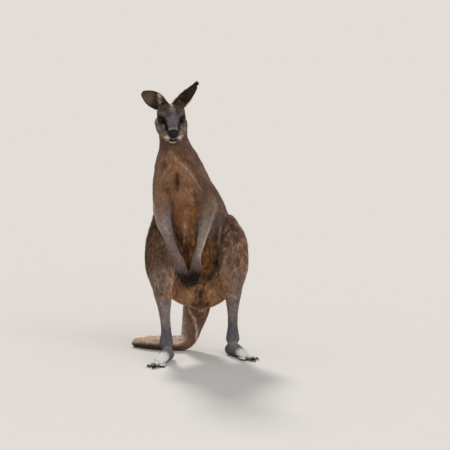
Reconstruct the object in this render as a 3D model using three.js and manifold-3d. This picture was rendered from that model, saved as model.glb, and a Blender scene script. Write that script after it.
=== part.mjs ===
// A standing kangaroo, life size, as a still museum model.
//
// Millimetres, +Z up. The animal faces -Y; "r" is its own right side (-X), "l" its left (+X).
// The flesh is one smooth body, given as a distance field: each muscle or limb is a chain of
// elliptical stations, and chains melt into each other over a named width. The field is
// meshed region by region, and thin cuts part it into the named pieces of the body.
// The outer shape includes the coat, to the tips of the hair.

import * as THREE from 'three';
import { SimplifyModifier } from 'three/addons/modifiers/SimplifyModifier.js';
import { mergeVertices } from 'three/addons/utils/BufferGeometryUtils.js';
import Module from 'manifold-3d';

const wasm = await Module();
wasm.setup();

// ---------------------------------------------------------------- driving sizes

const GAP = 0.3;                 // clearance between neighbouring pieces
const CLAW_GAP = 0.6;            // clearance between a claw and the end of its toe
const EYE_RADIUS = 14.5;
const EYE_PLACE = [50, 17, 6];   // in the head's frame: side, forward, up
const NOSE_PLACE = [0, 111, -50];  // in the head's frame
const NOSE_RADII = [28, 20, 21];
const HEAD_PLACE = [-130, -122, 1250];
const HEAD_PITCH = 10;           // degrees, nose down
const HEAD_YAW = 7;              // degrees, towards the animal's left
const MIDDLE_LINE = 4;           // the hips' middle, across
const HIP_HALF_WIDTH = 118;
const ANKLE_HEIGHT = 92;
const KNEE_HEIGHT = 408;
const HIP_HEIGHT = 716;
const RUMP_HEIGHT = 260;         // the lowest flesh behind the shins
const FINGER_RADIUS = 6.2;
const HAND_CLAW = { length: 36, radius: 4.6, bend: 26 };
const TOE_CLAWS = {
  4: { length: 42, radius: 9, bend: 30 },
  5: { length: 27, radius: 6.5, bend: 24 },
  3: { length: 19, radius: 4.6, bend: 20 },
  2: { length: 19, radius: 4.6, bend: 20 },
};

// joints of the two hind legs and the line of each foot, on plan
const LEGS = {
  r: {
    sign: -1, hip: [-170, 706, 68], thigh: 90,
    knee: [-180, -235], ankle: [-160, -180], heel: [-141, -154], toe: [-219, -500],
  },
  l: {
    sign: 1, hip: [156, 664, 62], thigh: 81,
    knee: [188, -140], ankle: [188, 6], heel: [166, 30], toe: [299, -256],
  },
};

// each arm: stations from shoulder to elbow and from elbow to wrist, then the hand
const ARMS = {
  r: {
    upper: [[-160, -25, 990, 58, 54], [-176, -38, 925, 56, 58], [-188, -55, 850, 45, 52],
      [-186, -66, 775, 42, 44]],
    fore: [[-186, -66, 782, 42, 42], [-176, -96, 720, 40, 41], [-158, -122, 672, 33, 35],
      [-137, -146, 612, 22, 27], [-108, -172, 555, 19, 20], [-90, -184, 525, 22, 19]],
    elbowCut: [-186, -70, 768],
    wrist: [-90, -184, 525],
    knuckles: [-76, -213, 460],
    reach: [0.46, -0.16, -1],
  },
  l: {
    upper: [[-22, -25, 990, 58, 54], [12, -40, 925, 54, 58], [44, -56, 855, 46, 52], [56, -68, 795, 42, 44]],
    fore: [[58, -66, 800, 40, 42], [48, -92, 730, 37, 40], [27, -132, 635, 24, 28],
      [8, -158, 565, 20, 21], [-2, -168, 530, 22, 19]],
    elbowCut: [57, -70, 786],
    wrist: [-2, -168, 530],
    knuckles: [-5, -174, 468],
    reach: [-0.30, -0.03, -1],
  },
};

// the palm: sections at shares of the way from wrist to knuckles, with half width and half depth
const PALM = [
  { share: -0.1, wide: 22, deep: 19 },
  { share: 0.5, wide: 30, deep: 18 },
  { share: 1, wide: 32, deep: 14 },
];

// the five fingers across a hand, from the little finger side to the thumb side:
// place across the knuckles, share of the middle finger's length, and turn outwards
const FINGERS = [
  { across: -28, share: 0.84, turn: 0.04 },
  { across: -15, share: 0.98, turn: 0.02 },
  { across: -1, share: 1.0, turn: 0 },
  { across: 13, share: 0.92, turn: -0.02 },
  { across: 27, share: 0.76, turn: -0.05 },
];
const FINGER_LENGTH = 66;
const FINGER_BEND = 4;           // how far the middle joints stand forward

// toes of one foot: where the toe leaves the foot and ends, as shares of the foot's length,
// its place across the foot at both ends (outwards is positive), and its radius
const TOES = {
  4: { from: 0.62, to: 0.91, across: [2, 2], radius: 16 },
  5: { from: 0.56, to: 0.82, across: [20, 37], radius: 12 },
  3: { from: 0.58, to: 0.815, across: [-17, -25], radius: 7.5 },
  2: { from: 0.58, to: 0.8, across: [-24, -38], radius: 7.5 },
};

const TOE_LIFT = 0.12;           // height of the middle joint over the toe, in toe radii
const BLUNT = 0.45;              // how far a limb's rounded end stands out, in radii

// Each ear: middle of the root, tip, the way its hollow faces, half width, the root's width
// as a share of the full width, and the depth of the hollow.
const EARS = {
  r: {
    root: [-184, -64, 1331], tip: [-288, -40, 1389], facing: [-0.2, -1, 0.05],
    halfWidth: 41, narrow: 0.7, hollow: 24,
  },
  l: {
    root: [-98, -64, 1318], tip: [7, -58, 1446], facing: [0.72, -0.75, -0.1],
    halfWidth: 36, narrow: 0.96, hollow: 24,
  },
};
const EAR_THICK = 6;
const EAR_ROOT_DEPTH = 32;       // how far the ear starts inside the head

const COLOURS = {
  coat: [0.36, 0.27, 0.2],
  chest: [0.42, 0.3, 0.2],
  limb: [0.33, 0.29, 0.26],
  dark: [0.06, 0.055, 0.055],
  eye: [0.02, 0.014, 0.012],
};

// ---------------------------------------------------------------- small vector tools

const add = (a, b, t = 1) => [a[0] + b[0] * t, a[1] + b[1] * t, a[2] + b[2] * t];
const dot = (a, b) => a[0] * b[0] + a[1] * b[1] + a[2] * b[2];
const cross = (a, b) => [a[1] * b[2] - a[2] * b[1], a[2] * b[0] - a[0] * b[2], a[0] * b[1] - a[1] * b[0]];
const scale = (a, t) => [a[0] * t, a[1] * t, a[2] * t];
const length = (a) => Math.hypot(a[0], a[1], a[2]);
const unit = (a) => scale(a, 1 / length(a));
const mix = (a, b, t) => a + (b - a) * t;
const radians = (degrees) => degrees * Math.PI / 180;

// ---------------------------------------------------------------- the field

// Stations between the given ones lie on a Catmull-Rom curve.
function smoothStations(stations, steps) {
  const last = stations.length - 1;
  const at = (i) => {
    if (i < 0) return stations[0].map((v, k) => 2 * v - stations[1][k]);
    if (i > last) return stations[last].map((v, k) => 2 * v - stations[last - 1][k]);
    return stations[i];
  };
  const out = [];
  for (let i = 0; i < last; i += 1) {
    for (let j = 0; j < steps; j += 1) {
      const t = j / steps;
      out.push(stations[i].map((_, k) => {
        const [a, b, c, d] = [at(i - 1)[k], at(i)[k], at(i + 1)[k], at(i + 2)[k]];
        const bend = 2 * a - 5 * b + 4 * c - d;
        const twist = -a + 3 * b - 3 * c + d;
        return 0.5 * (2 * b + (c - a) * t + bend * t * t + twist * t * t * t);
      }));
    }
  }
  out.push(stations[last]);
  return out;
}

// One chain: stations [x, y, z, half width, half depth], the direction that the width is
// measured along, and the width over which it melts into what was laid before it.
function chain(stations, melt, options = {}) {
  const links = smoothStations(stations, stations.length > 2 ? 4 : 1);
  const reach = Math.max(...stations.map((s) => Math.max(s[3], s[4]))) + 70;
  const low = [0, 1, 2].map((k) => Math.min(...stations.map((s) => s[k])) - reach);
  const high = [0, 1, 2].map((k) => Math.max(...stations.map((s) => s[k])) + reach);
  const { side = [1, 0, 0], frame = 'body', mirror = false, carve = false } = options;
  return { links, melt, low, high, side: unit(side), frame, mirror, carve };
}

// Distance from a point to a chain: along each link the section is an ellipse, and the
// distance is the way from the axis less the ellipse's radius in that direction.
function chainDistance({ links, side }, p) {
  let best = Infinity;
  for (let i = 0; i + 1 < links.length; i += 1) {
    const a = links[i];
    const b = links[i + 1];
    const ab = [b[0] - a[0], b[1] - a[1], b[2] - a[2]];
    const ap = [p[0] - a[0], p[1] - a[1], p[2] - a[2]];
    const t = Math.min(1, Math.max(0, dot(ap, ab) / dot(ab, ab)));
    const q = add(ap, ab, -t);
    const wide = mix(a[3], b[3], t);
    const deep = mix(a[4], b[4], t);
    const across = dot(q, side);
    const far = length(q);
    const rest = Math.max(far * far - across * across, 0);
    const ratio = Math.sqrt((across / wide) ** 2 + rest / deep ** 2) + 1e-9;
    best = Math.min(best, far - far / ratio);
  }
  return best;
}

// Smooth minimum: the two distances melt into each other where they differ by less than k.
function melt(a, b, k) {
  if (k <= 0) return Math.min(a, b);
  const h = Math.max(k - Math.abs(a - b), 0) / k;
  return Math.min(a, b) - h * h * h * k / 6;
}

// The head's own frame: side, forward, up.
const HEAD_AXES = (() => {
  const pitch = radians(HEAD_PITCH);
  const yaw = radians(HEAD_YAW);
  const forward = [Math.sin(yaw) * Math.cos(pitch), -Math.cos(yaw) * Math.cos(pitch), -Math.sin(pitch)];
  const side = [Math.cos(yaw), Math.sin(yaw), 0];
  const up = cross(forward, side);
  return [side, forward, up[2] > 0 ? up : scale(up, -1)];
})();
const toHead = (p) => {
  const q = add(p, HEAD_PLACE, -1);
  return HEAD_AXES.map((axis) => dot(axis, q));
};
const fromHead = (p) => HEAD_AXES.reduce((sum, axis, i) => add(sum, axis, p[i]), HEAD_PLACE);

// The whole field of a list of chains.
function fieldOf(chains) {
  return (p) => {
    const inHead = toHead(p);
    const inHeadMirrored = [Math.abs(inHead[0]), inHead[1], inHead[2]];
    let distance = 1e6;
    for (const c of chains) {
      const q = c.frame === 'body' ? p : (c.mirror ? inHeadMirrored : inHead);
      const inside = q.every((v, k) => v > c.low[k] && v < c.high[k]);
      if (!inside) continue;
      const d = chainDistance(c, q);
      distance = c.carve ? -melt(-distance, d, c.melt) : melt(distance, d, c.melt);
    }
    return distance;
  };
}

// ---------------------------------------------------------------- chains of the body

function trunkChains() {
  const turned = { side: [Math.cos(radians(6)), -Math.sin(radians(6)), 0] };
  const trunk = chain([
    [14, 118, 395, 100, 90], [10, 88, 490, 142, 130], [4, 56, 600, 172, 152], [-4, 38, 700, 174, 150],
    [-24, 20, 795, 158, 134], [-54, 6, 880, 131, 120], [-84, -10, 955, 112, 106], [-98, -20, 1025, 106, 88],
  ], 0, turned);
  const neck = chain([[-100, -22, 1025, 106, 90], [-111, -38, 1085, 88, 78], [-122, -52, 1145, 75, 72],
    [-126, -60, 1205, 76, 66]], 40);
  const nape = chain([[-122, -10, 1110, 42, 42], [-146, -14, 1055, 50, 48], [-163, -20, 1000, 50, 52]], 40);
  const breastR = chain([[-78, -82, 1010, 32, 32], [-112, -92, 945, 44, 40], [-160, -70, 905, 42, 40]], 24);
  const breastL = chain([[-66, -84, 1010, 32, 32], [-34, -96, 945, 44, 40], [8, -78, 905, 42, 40]], 24);
  return [trunk, neck, nape, breastR, breastL];
}

const upperArmChain = (arm) => chain(arm.upper, 35);

function legChains({ sign, hip, knee, ankle, thigh }) {
  const [kx, ky] = knee;
  const [ax, ay] = ankle;
  const shinAt = (share, back, ...rest) => [mix(kx, ax, share), mix(ky, ay, share) + back, ...rest];
  return [
    chain([[sign * 95 + MIDDLE_LINE, 106, 685, 62, 68],
      [sign * (HIP_HALF_WIDTH + 4) + MIDDLE_LINE, 92, 600, 92, 96],
      [sign * HIP_HALF_WIDTH + MIDDLE_LINE, 100, 500, 85, 90]], 45),
    chain([[hip[0], 48, hip[1], hip[2], 82], [sign * 180, ky * 0.1 + 6, 585, thigh, 110],
      [kx * 1.02, ky * 0.5, 500, thigh - 3, 102], [kx, ky * 0.85, 440, 68, 74],
      [kx, ky + 4, 405, 51, 54]], 30),
    chain([[sign * 100 + MIDDLE_LINE, 96, 490, 72, 80], [kx * 0.72, ky * 0.1 + 24, 420, 58, 72],
      [kx * 0.86, ky * 0.42 + 8, 362, 44, 58]], 40),
    chain([shinAt(0, 24, 430, 56, 66), shinAt(0.15, 42, 365, 50, 66), shinAt(0.45, 30, 300, 38, 50),
      shinAt(0.7, 12, 225, 28, 35), shinAt(1, 4, 150, 27, 30), shinAt(1, 0, 90, 36, 39)], 25),
  ];
}

function groinChains() {
  const belly = chain([[-112, -40, 352, 46, 54], [-58, -8, 322, 54, 68], [20, 30, 300, 58, 78],
    [86, 28, 324, 56, 72], [130, 4, 366, 48, 58]], 40, { side: [0, 0, 1] });
  const purse = chain([[20, -38, 330, 26, 24], [20, -44, 298, 31, 29], [22, -30, 262, 22, 24]], 16);
  const vent = chain([[18, 60, 320, 56, 66], [22, 84, 262, 34, 38], [26, 82, 218, 17, 21]], 30);
  return [belly, purse, vent];
}

function tailChains() {
  return [chain([[6, 120, 520, 84, 92], [6, 168, 400, 80, 84], [4, 190, 300, 76, 76], [-10, 188, 210, 71, 68],
    [-30, 180, 130, 56, 56], [-48, 168, 68, 46, 44], [-84, 160, 42, 41, 43], [-160, 164, 40, 41, 42],
    [-250, 214, 36, 37, 38], [-332, 286, 27, 29, 28]], 35)];
}

// A point on a foot: share of the way from heel to toe, height, and place across, outwards.
function footPoint({ sign, heel, toe }, share, z, across = 0) {
  const along = [toe[0] - heel[0], toe[1] - heel[1]];
  const outwards = sign * across / Math.hypot(...along);
  return [heel[0] + along[0] * share - along[1] * outwards,
    heel[1] + along[1] * share + along[0] * outwards, z];
}

// The direction across a foot.
function footSide({ heel, toe }) {
  return unit([toe[1] - heel[1], heel[0] - toe[0], 0]);
}

function footChain(leg) {
  const station = (share, z, wide, deep) => [...footPoint(leg, share, z), wide, deep];
  return chain([station(0.06, 28, 28, 29), station(0.2, 36, 30, 37), station(0.45, 27, 30, 28),
    station(0.6, 21, 34, 22), station(0.7, 17, 29, 17)], 25, { side: footSide(leg) });
}

function headChains() {
  const inHead = (stations, width, more = {}) => chain(stations, width, { frame: 'head', ...more });
  const both = { mirror: true };
  return [
    inHead([[0, -84, 4, 50, 48], [0, -48, 14, 69, 48], [0, -6, 16, 61, 43], [0, 30, 2, 44, 38]], 20),
    inHead([[0, 16, -8, 44, 44], [0, 52, -30, 34, 36], [0, 82, -43, 29, 30], [0, 98, -50, 28, 26]], 20),
    inHead([[0, -46, -50, 54, 40], [0, 10, -72, 46, 33], [0, 54, -83, 34, 24], [0, 84, -87, 23, 18]], 18),
    inHead([[50, -46, -26, 35, 38], [47, 0, -48, 32, 36], [38, 40, -66, 24, 26]], 20, both),
    inHead([[52, -46, 30, 22, 24], [55, -20, 10, 20, 20]], 16, both),
    inHead([[28, 4, 36, 16, 12], [44, 16, 26, 12, 11], [54, 22, 14, 9, 9]], 12, both),
    inHead([[55, 0, -22, 13, 12], [44, 34, -26, 13, 12]], 14, both),
    inHead([[31, 56, -70, 18, 17], [28, 84, -76, 18, 18]], 12, both),
    inHead([[0, 92, -44, 25, 19], [0, 106, -52, 25, 20]], 10),
    inHead([[56, 27, 6, 11, 11], [70, 40, 7, 15, 13]], 8, { mirror: true, carve: true }),
  ];
}

const BODY = fieldOf([
  ...trunkChains(), upperArmChain(ARMS.r), upperArmChain(ARMS.l), ...legChains(LEGS.r), ...legChains(LEGS.l),
  ...groinChains(), ...tailChains(), footChain(LEGS.r), footChain(LEGS.l), ...headChains(),
]);

// ---------------------------------------------------------------- meshing the field

const CORNERS = [...Array(8).keys()].map((i) => [i & 1, (i >> 1) & 1, (i >> 2) & 1]);
const CELL_EDGES = [];
for (let i = 0; i < 8; i += 1) {
  for (const step of [1, 2, 4]) {
    if (!(i & step)) CELL_EDGES.push([i, i | step]);
  }
}

// Surface nets: one vertex for each run of inside corners in a cell that the surface
// crosses, at the mean of the crossings, then moved onto the surface along its slope.
// Outside the box low..high the field is taken as empty, so the mesh is closed.
function meshField(field, low, high, cell) {
  const count = [0, 1, 2].map((k) => Math.ceil((high[k] - low[k]) / cell) + 1);
  const place = (i, j, k) => [low[0] + i * cell, low[1] + j * cell, low[2] + k * cell];
  const values = new Float64Array(count[0] * count[1] * count[2]);
  const index = (i, j, k) => (k * count[1] + j) * count[0] + i;
  const onBorder = (n, k) => n === 0 || n === count[k] - 1;
  for (let k = 0; k < count[2]; k += 1) {
    for (let j = 0; j < count[1]; j += 1) {
      for (let i = 0; i < count[0]; i += 1) {
        const value = field(place(i, j, k)) || 1e-6;
        const border = onBorder(i, 0) || onBorder(j, 1) || onBorder(k, 2);
        values[index(i, j, k)] = border ? Math.max(value, 1) : value;
      }
    }
  }
  const vertices = [];
  const cells = new Map();        // cell number -> vertex of each of its corners
  for (let k = 0; k + 1 < count[2]; k += 1) {
    for (let j = 0; j + 1 < count[1]; j += 1) {
      for (let i = 0; i + 1 < count[0]; i += 1) {
        const value = CORNERS.map(([a, b, c]) => values[index(i + a, j + b, k + c)]);
        const inside = value.map((v) => v < 0);
        if (inside.every(Boolean) || !inside.some(Boolean)) continue;
        const run = cornerRuns(inside);
        const vertexOf = new Map();
        for (const label of new Set(run.filter((r) => r >= 0))) {
          const sum = [0, 0, 0];
          let crossings = 0;
          for (const [a, b] of CELL_EDGES) {
            if (inside[a] === inside[b] || run[inside[a] ? a : b] !== label) continue;
            const t = value[a] / (value[a] - value[b]);
            CORNERS[a].forEach((v, n) => { sum[n] += mix(v, CORNERS[b][n], t); });
            crossings += 1;
          }
          const at = sum.map((v) => v / crossings);
          vertexOf.set(label, vertices.length);
          vertices.push(place(i + at[0], j + at[1], k + at[2]));
        }
        cells.set(index(i, j, k), run.map((r) => vertexOf.get(r)));
      }
    }
  }
  const triangles = [];
  for (let k = 0; k + 1 < count[2]; k += 1) {
    for (let j = 0; j + 1 < count[1]; j += 1) {
      for (let i = 0; i + 1 < count[0]; i += 1) {
        for (let axis = 0; axis < 3; axis += 1) {
          const here = [i, j, k];
          const next = here.map((v, n) => v + (n === axis ? 1 : 0));
          const u = (axis + 1) % 3;
          const v = (axis + 2) % 3;
          const a = values[index(...here)] < 0;
          const b = values[index(...next)] < 0;
          if (a === b || here[u] === 0 || here[v] === 0) continue;
          const core = a ? here : next;
          const ring = [[0, 0], [1, 0], [1, 1], [0, 1]].map(([du, dv]) => {
            const at = here.slice();
            at[u] -= du;
            at[v] -= dv;
            const bits = core.map((c, n) => c - at[n]);
            return cells.get(index(...at))[bits[0] + 2 * bits[1] + 4 * bits[2]];
          });
          const quad = a ? ring : ring.reverse();
          triangles.push(...splitQuad(quad, vertices));
        }
      }
    }
  }
  const margin = 0.75 * cell;
  for (const v of vertices) {
    const nearBorder = v.some((x, n) => x < low[n] + margin || x > high[n] - margin);
    if (!nearBorder) settle(v, field, cell * 0.6);
  }
  return { vertices, triangles };
}

// Inside corners that hang together along the cell's edges share a label.
function cornerRuns(inside) {
  const run = inside.map((yes, i) => (yes ? i : -1));
  for (let pass = 0; pass < 4; pass += 1) {
    for (const [a, b] of CELL_EDGES) {
      if (run[a] >= 0 && run[b] >= 0) {
        run[a] = Math.min(run[a], run[b]);
        run[b] = run[a];
      }
    }
  }
  return run;
}

// A four-sided face becomes two triangles along its shorter diagonal.
function splitQuad([a, b, c, d], vertices) {
  const ac = length(add(vertices[a], vertices[c], -1));
  const bd = length(add(vertices[b], vertices[d], -1));
  return ac <= bd ? [a, b, c, a, c, d] : [a, b, d, b, c, d];
}

// Two Newton steps carry a vertex onto the surface.
function settle(v, field, limit) {
  for (let step = 0; step < 2; step += 1) {
    const value = field(v);
    const slope = [0, 1, 2].map((k) => {
      const ahead = v.slice();
      const behind = v.slice();
      ahead[k] += 1;
      behind[k] -= 1;
      return (field(ahead) - field(behind)) / 2;
    });
    const steep = Math.max(dot(slope, slope), 0.2);
    const move = Math.max(-limit, Math.min(limit, -value / Math.sqrt(steep)));
    const way = scale(slope, move / Math.sqrt(steep));
    way.forEach((w, k) => { v[k] += w; });
  }
}

// Flat stretches need fewer triangles than bent ones: the mesh is thinned to about the
// given number of triangles.
async function thinOut({ vertices, triangles }, wanted) {
  const geometry = new THREE.BufferGeometry();
  geometry.setAttribute('position', new THREE.BufferAttribute(Float32Array.from(vertices.flat()), 3));
  geometry.setIndex(triangles);
  const share = Math.min(1, wanted * 3 / triangles.length);
  return new SimplifyModifier().modify(geometry, Math.floor(vertices.length * (1 - share)));
}

// ---------------------------------------------------------------- solids

function solidFrom({ vertices, triangles }) {
  const mesh = new wasm.Mesh({
    numProp: 3,
    vertProperties: Float32Array.from(vertices.flat()),
    triVerts: Uint32Array.from(triangles),
  });
  mesh.merge();
  return new wasm.Manifold(mesh);
}

function solidFromGeometry(geometry) {
  const bare = geometry.clone();
  bare.deleteAttribute('normal');
  bare.deleteAttribute('uv');
  const merged = mergeVertices(bare, 1e-4);
  const position = merged.getAttribute('position');
  const vertices = [...Array(position.count).keys()].map((i) => (
    [position.getX(i), position.getY(i), position.getZ(i)]
  ));
  return solidFrom({ vertices, triangles: [...merged.getIndex().array] });
}

// A block with a start and an end section, for cutting: centre line from..to, half sizes
// [across, deep] at each end, and the direction of the width.
function block(from, to, startSize, endSize, side, inset = 0) {
  const along = unit(add(to, from, -1));
  const across = unit(add(side, along, -dot(side, along)));
  const deep = cross(along, across);
  const geometry = new THREE.BoxGeometry(2, 2, 2);
  const position = geometry.getAttribute('position');
  for (let i = 0; i < position.count; i += 1) {
    const end = position.getZ(i) > 0;
    const [wide, thick] = end ? endSize : startSize;
    let p = end ? add(to, along, -inset) : add(from, along, inset);
    p = add(p, across, position.getX(i) * (wide - inset));
    p = add(p, deep, position.getY(i) * (thick - inset));
    position.setXYZ(i, ...p);
  }
  return solidFromGeometry(geometry);
}

// An upright block between two corners.
function crate(low, high, inset = 0) {
  const size = high.map((v, k) => v - low[k]);
  const middle = low.map((v, k) => v + size[k] / 2);
  const bottom = [middle[0], middle[1], low[2]];
  const top = [middle[0], middle[1], high[2]];
  const section = [size[0] / 2, size[1] / 2];
  return block(bottom, top, section, section, [1, 0, 0], inset);
}

// A tapered tube of ellipses through stations [x, y, z, half width, half depth]. Each end
// closes on a point, which stands out by a share of the end's radius.
function tube(stations, sides, sideways, steps = 2, roundness = [BLUNT, BLUNT]) {
  const rings = smoothStations(stations, steps);
  const last = rings.length - 1;
  const vertices = [];
  const triangles = [];
  rings.forEach((ring, i) => {
    const centre = ring.slice(0, 3);
    const before = rings[Math.max(i - 1, 0)];
    const after = rings[Math.min(i + 1, last)];
    const along = unit(add(after.slice(0, 3), before.slice(0, 3), -1));
    const across = unit(add(sideways, along, -dot(sideways, along)));
    const deep = cross(along, across);
    for (let j = 0; j < sides; j += 1) {
      const turn = (j + 0.5) / sides * 2 * Math.PI;
      const p = add(centre, across, Math.cos(turn) * ring[3]);
      vertices.push(add(p, deep, Math.sin(turn) * ring[4]));
    }
  });
  for (let i = 0; i < last; i += 1) {
    for (let j = 0; j < sides; j += 1) {
      const a = i * sides + j;
      const b = i * sides + (j + 1) % sides;
      triangles.push(a, b, b + sides, a, b + sides, a + sides);
    }
  }
  [[0, 1], [last, last - 1]].forEach(([end, inner], n) => {
    const tip = rings[end].slice(0, 3);
    const out = unit(add(tip, rings[inner].slice(0, 3), -1));
    const pole = vertices.length;
    vertices.push(add(tip, out, Math.min(rings[end][3], rings[end][4]) * roundness[n]));
    for (let j = 0; j < sides; j += 1) {
      const a = end * sides + j;
      const b = end * sides + (j + 1) % sides;
      if (n === 0) triangles.push(pole, b, a);
      else triangles.push(pole, a, b);
    }
  });
  return solidFrom({ vertices, triangles });
}

// ---------------------------------------------------------------- pieces

const model = new THREE.Group();
const pieces = [];

function piece(name, solid, colour, roughness = 0.9) {
  pieces.push({ name, solid, colour, roughness });
}

// Blocks that part the body. Each piece lies inside its own block and outside the blocks
// that stand before it in this list.
const ABOVE_FLOOR = crate([-600, -600, 0], [600, 600, 1700]);
const NECK_TOP = { through: [-124, -75, 1200], facing: [0, -0.55, 0.83] };
const NECK_ROOT = { through: [-104, -30, 1048], facing: [-0.25, -0.2, 0.95] };
const SHOULDER_R = { from: [-250, -40, 1120], to: [-256, -60, 722], size: [92, 130], side: [1, -0.15, 0] };
const SHOULDER_L = { from: [66, -128, 1016], to: [70, -136, 742], size: [84, 58], side: [0.8, 0.6, 0] };
const WHOLE = [520, 520];        // half sizes that reach across the whole body
const FAR = 700;
const beyond = ({ through, facing }, inset) => (
  block(through, add(through, unit(facing), FAR), WHOLE, WHOLE, [1, 0, 0], inset)
);
const beam = ({ from, to, size, side }, inset) => block(from, to, size, size, side, inset);

const CUTTERS = [
  ['head', (inset) => beyond(NECK_TOP, inset)],
  ['neck', (inset) => beyond(NECK_ROOT, inset)],
  ['upper_arm_r', (inset) => beam(SHOULDER_R, inset)],
  ['upper_arm_l', (inset) => beam(SHOULDER_L, inset)],
  ['foot_r', (inset) => crate([-300, -520, -20], [-60, 0, ANKLE_HEIGHT], inset)],
  ['foot_l', (inset) => crate([100, -360, -20], [400, 90, ANKLE_HEIGHT], inset)],
  ['shin_r', (inset) => crate([-300, -320, ANKLE_HEIGHT], [-92, 60, KNEE_HEIGHT], inset)],
  ['shin_l', (inset) => crate([118, -260, ANKLE_HEIGHT], [320, 90, KNEE_HEIGHT], inset)],
  ['thigh_r', (inset) => crate([-380, -330, RUMP_HEIGHT], [-114, 360, HIP_HEIGHT], inset)],
  ['thigh_l', (inset) => crate([122, -300, RUMP_HEIGHT], [380, 360, HIP_HEIGHT], inset)],
  ['tail_1', (inset) => crate([-110, 112, 218], [120, 320, 352], inset)],
  ['tail_2', (inset) => crate([-130, 90, 104], [120, 320, 218], inset)],
  ['tail_3', (inset) => crate([-192, 60, -20], [120, 320, 104], inset)],
  ['tail_4', (inset) => crate([-420, 60, -20], [-192, 350, 104], inset)],
  ['loins', (inset) => crate([-600, -600, -20], [600, 600, HIP_HEIGHT], inset)],
  ['trunk', () => crate([-600, -600, -20], [600, 600, 1300])],
];
const blocks = CUTTERS.map(([, make]) => make(0));

// The region and cell size that each piece is meshed with.
const REGIONS = {
  head: { low: [-250, -290, 1060], high: [-5, 20, 1350], cell: 7, triangles: 1400, colour: 'limb' },
  neck: { low: [-260, -190, 960], high: [60, 120, 1320], cell: 16, triangles: 400, colour: 'coat' },
  upper_arm_r: { low: [-290, -190, 680], high: [-90, 130, 1120], cell: 14, triangles: 320, colour: 'coat' },
  upper_arm_l: { low: [-90, -230, 680], high: [180, 60, 1070], cell: 14, triangles: 320, colour: 'coat' },
  shin_r: { low: [-290, -320, 40], high: [-40, 120, 480], cell: 13, triangles: 380, colour: 'limb' },
  shin_l: { low: [70, -250, 40], high: [300, 130, 480], cell: 13, triangles: 380, colour: 'limb' },
  thigh_r: { low: [-330, -320, 230], high: [-50, 350, 780], cell: 16, triangles: 500, colour: 'coat' },
  thigh_l: { low: [60, -270, 230], high: [330, 350, 780], cell: 16, triangles: 500, colour: 'coat' },
  tail_1: { low: [-160, 50, 160], high: [170, 320, 410], cell: 15, triangles: 330, colour: 'coat' },
  tail_2: { low: [-170, 50, 50], high: [150, 320, 270], cell: 15, triangles: 260, colour: 'coat' },
  tail_3: { low: [-250, 60, -60], high: [110, 300, 160], cell: 14, triangles: 250, colour: 'coat' },
  tail_4: { low: [-420, 90, -60], high: [-140, 350, 150], cell: 13, triangles: 220, colour: 'coat' },
  loins: { low: [-330, -260, 180], high: [340, 330, 760], cell: 18, triangles: 470, colour: 'chest' },
  trunk: { low: [-330, -260, 670], high: [340, 330, 1130], cell: 18, triangles: 480, colour: 'chest' },
};

// A forearm is a tapered tube, cut square at the elbow and the wrist.
function forearm({ fore, elbowCut, wrist }, grow) {
  const fatter = fore.map(([x, y, z, wide, deep]) => [x, y, z, wide + grow, deep + grow]);
  return tube(fatter, 10, [1, 0, 0], 2).intersect(forearmBlock({ elbowCut, wrist }, GAP - grow));
}

function forearmBlock({ elbowCut, wrist }, inset) {
  const size = [100, 100];
  return block(elbowCut, wrist, size, size, [1, 0, 0], inset);
}

async function bodyPiece(name) {
  const region = REGIONS[name];
  const number = CUTTERS.findIndex(([own]) => own === name);
  const mesh = meshField(BODY, region.low, region.high, region.cell);
  let solid = solidFromGeometry(await thinOut(mesh, region.triangles));
  solid = solid.intersect(CUTTERS[number][1](GAP));
  blocks.slice(0, number).forEach((other) => { solid = solid.subtract(other); });
  ['r', 'l'].forEach((side) => { solid = solid.subtract(forearm(ARMS[side], GAP)); });
  return largest(solid.intersect(ABOVE_FLOOR));
}

// Cuts can leave crumbs: only the largest body is kept.
function largest(solid) {
  const bodies = solid.decompose();
  return bodies.reduce((best, body) => (body.volume() > best.volume() ? body : best));
}

// A claw: a tapered tube that starts flat against the toe's end and bends down to a point.
function claw(root, way, down, { length: long, radius, bend }) {
  const sideways = unit(cross(way, down));
  const stations = [0, 0.35, 0.7, 1].map((t) => {
    const turn = radians(bend) * t * t;
    const p = add(add(root, way, long * t * Math.cos(turn * 0.5)), down, long * t * Math.sin(turn * 0.8));
    const r = radius * Math.pow(1 - t, 0.8) + 0.7;
    return [...p, r * 0.8, r];
  });
  return tube(stations, 5, sideways, 1, [0, 1]);
}

// A hand: palm and five fingers, hanging from the wrist, each finger with its claw.
function buildHand(name, { elbowCut, wrist, knuckles, reach }) {
  const way = unit(reach);
  const sign = name === 'r' ? 1 : -1;
  const sections = PALM.map(({ share, wide, deep }) => (
    [...add(wrist, add(knuckles, wrist, -1), share), wide, deep]
  ));
  let hand = tube(sections, 9, [1, 0, 0], 2);
  FINGERS.forEach(({ across, share, turn }, i) => {
    const root = add(knuckles, [across * sign, 0, Math.abs(across) * 0.2]);
    const line = unit(add(way, [turn * sign, 0, 0]));
    const tip = add(root, line, FINGER_LENGTH * share);
    const joint = add(add(root, line, FINGER_LENGTH * share * 0.5), [0, -FINGER_BEND, 0]);
    const end = unit(add(tip, joint, -1));
    const r = FINGER_RADIUS;
    hand = hand.add(tube([[...add(root, line, -8), r, r], [...joint, r - 1, r - 1], [...tip, r - 2, r - 2]],
      5, [1, 0, 0], 1, [BLUNT, 0]));
    const down = unit([0.12 * sign, 0.25, -0.1]);
    piece(`claw_hand_${name}_${i + 1}`, claw(add(tip, end, CLAW_GAP), end, down, HAND_CLAW), 'dark', 0.35);
  });
  return largest(hand.subtract(forearmBlock({ elbowCut, wrist }, -GAP)));
}

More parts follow.
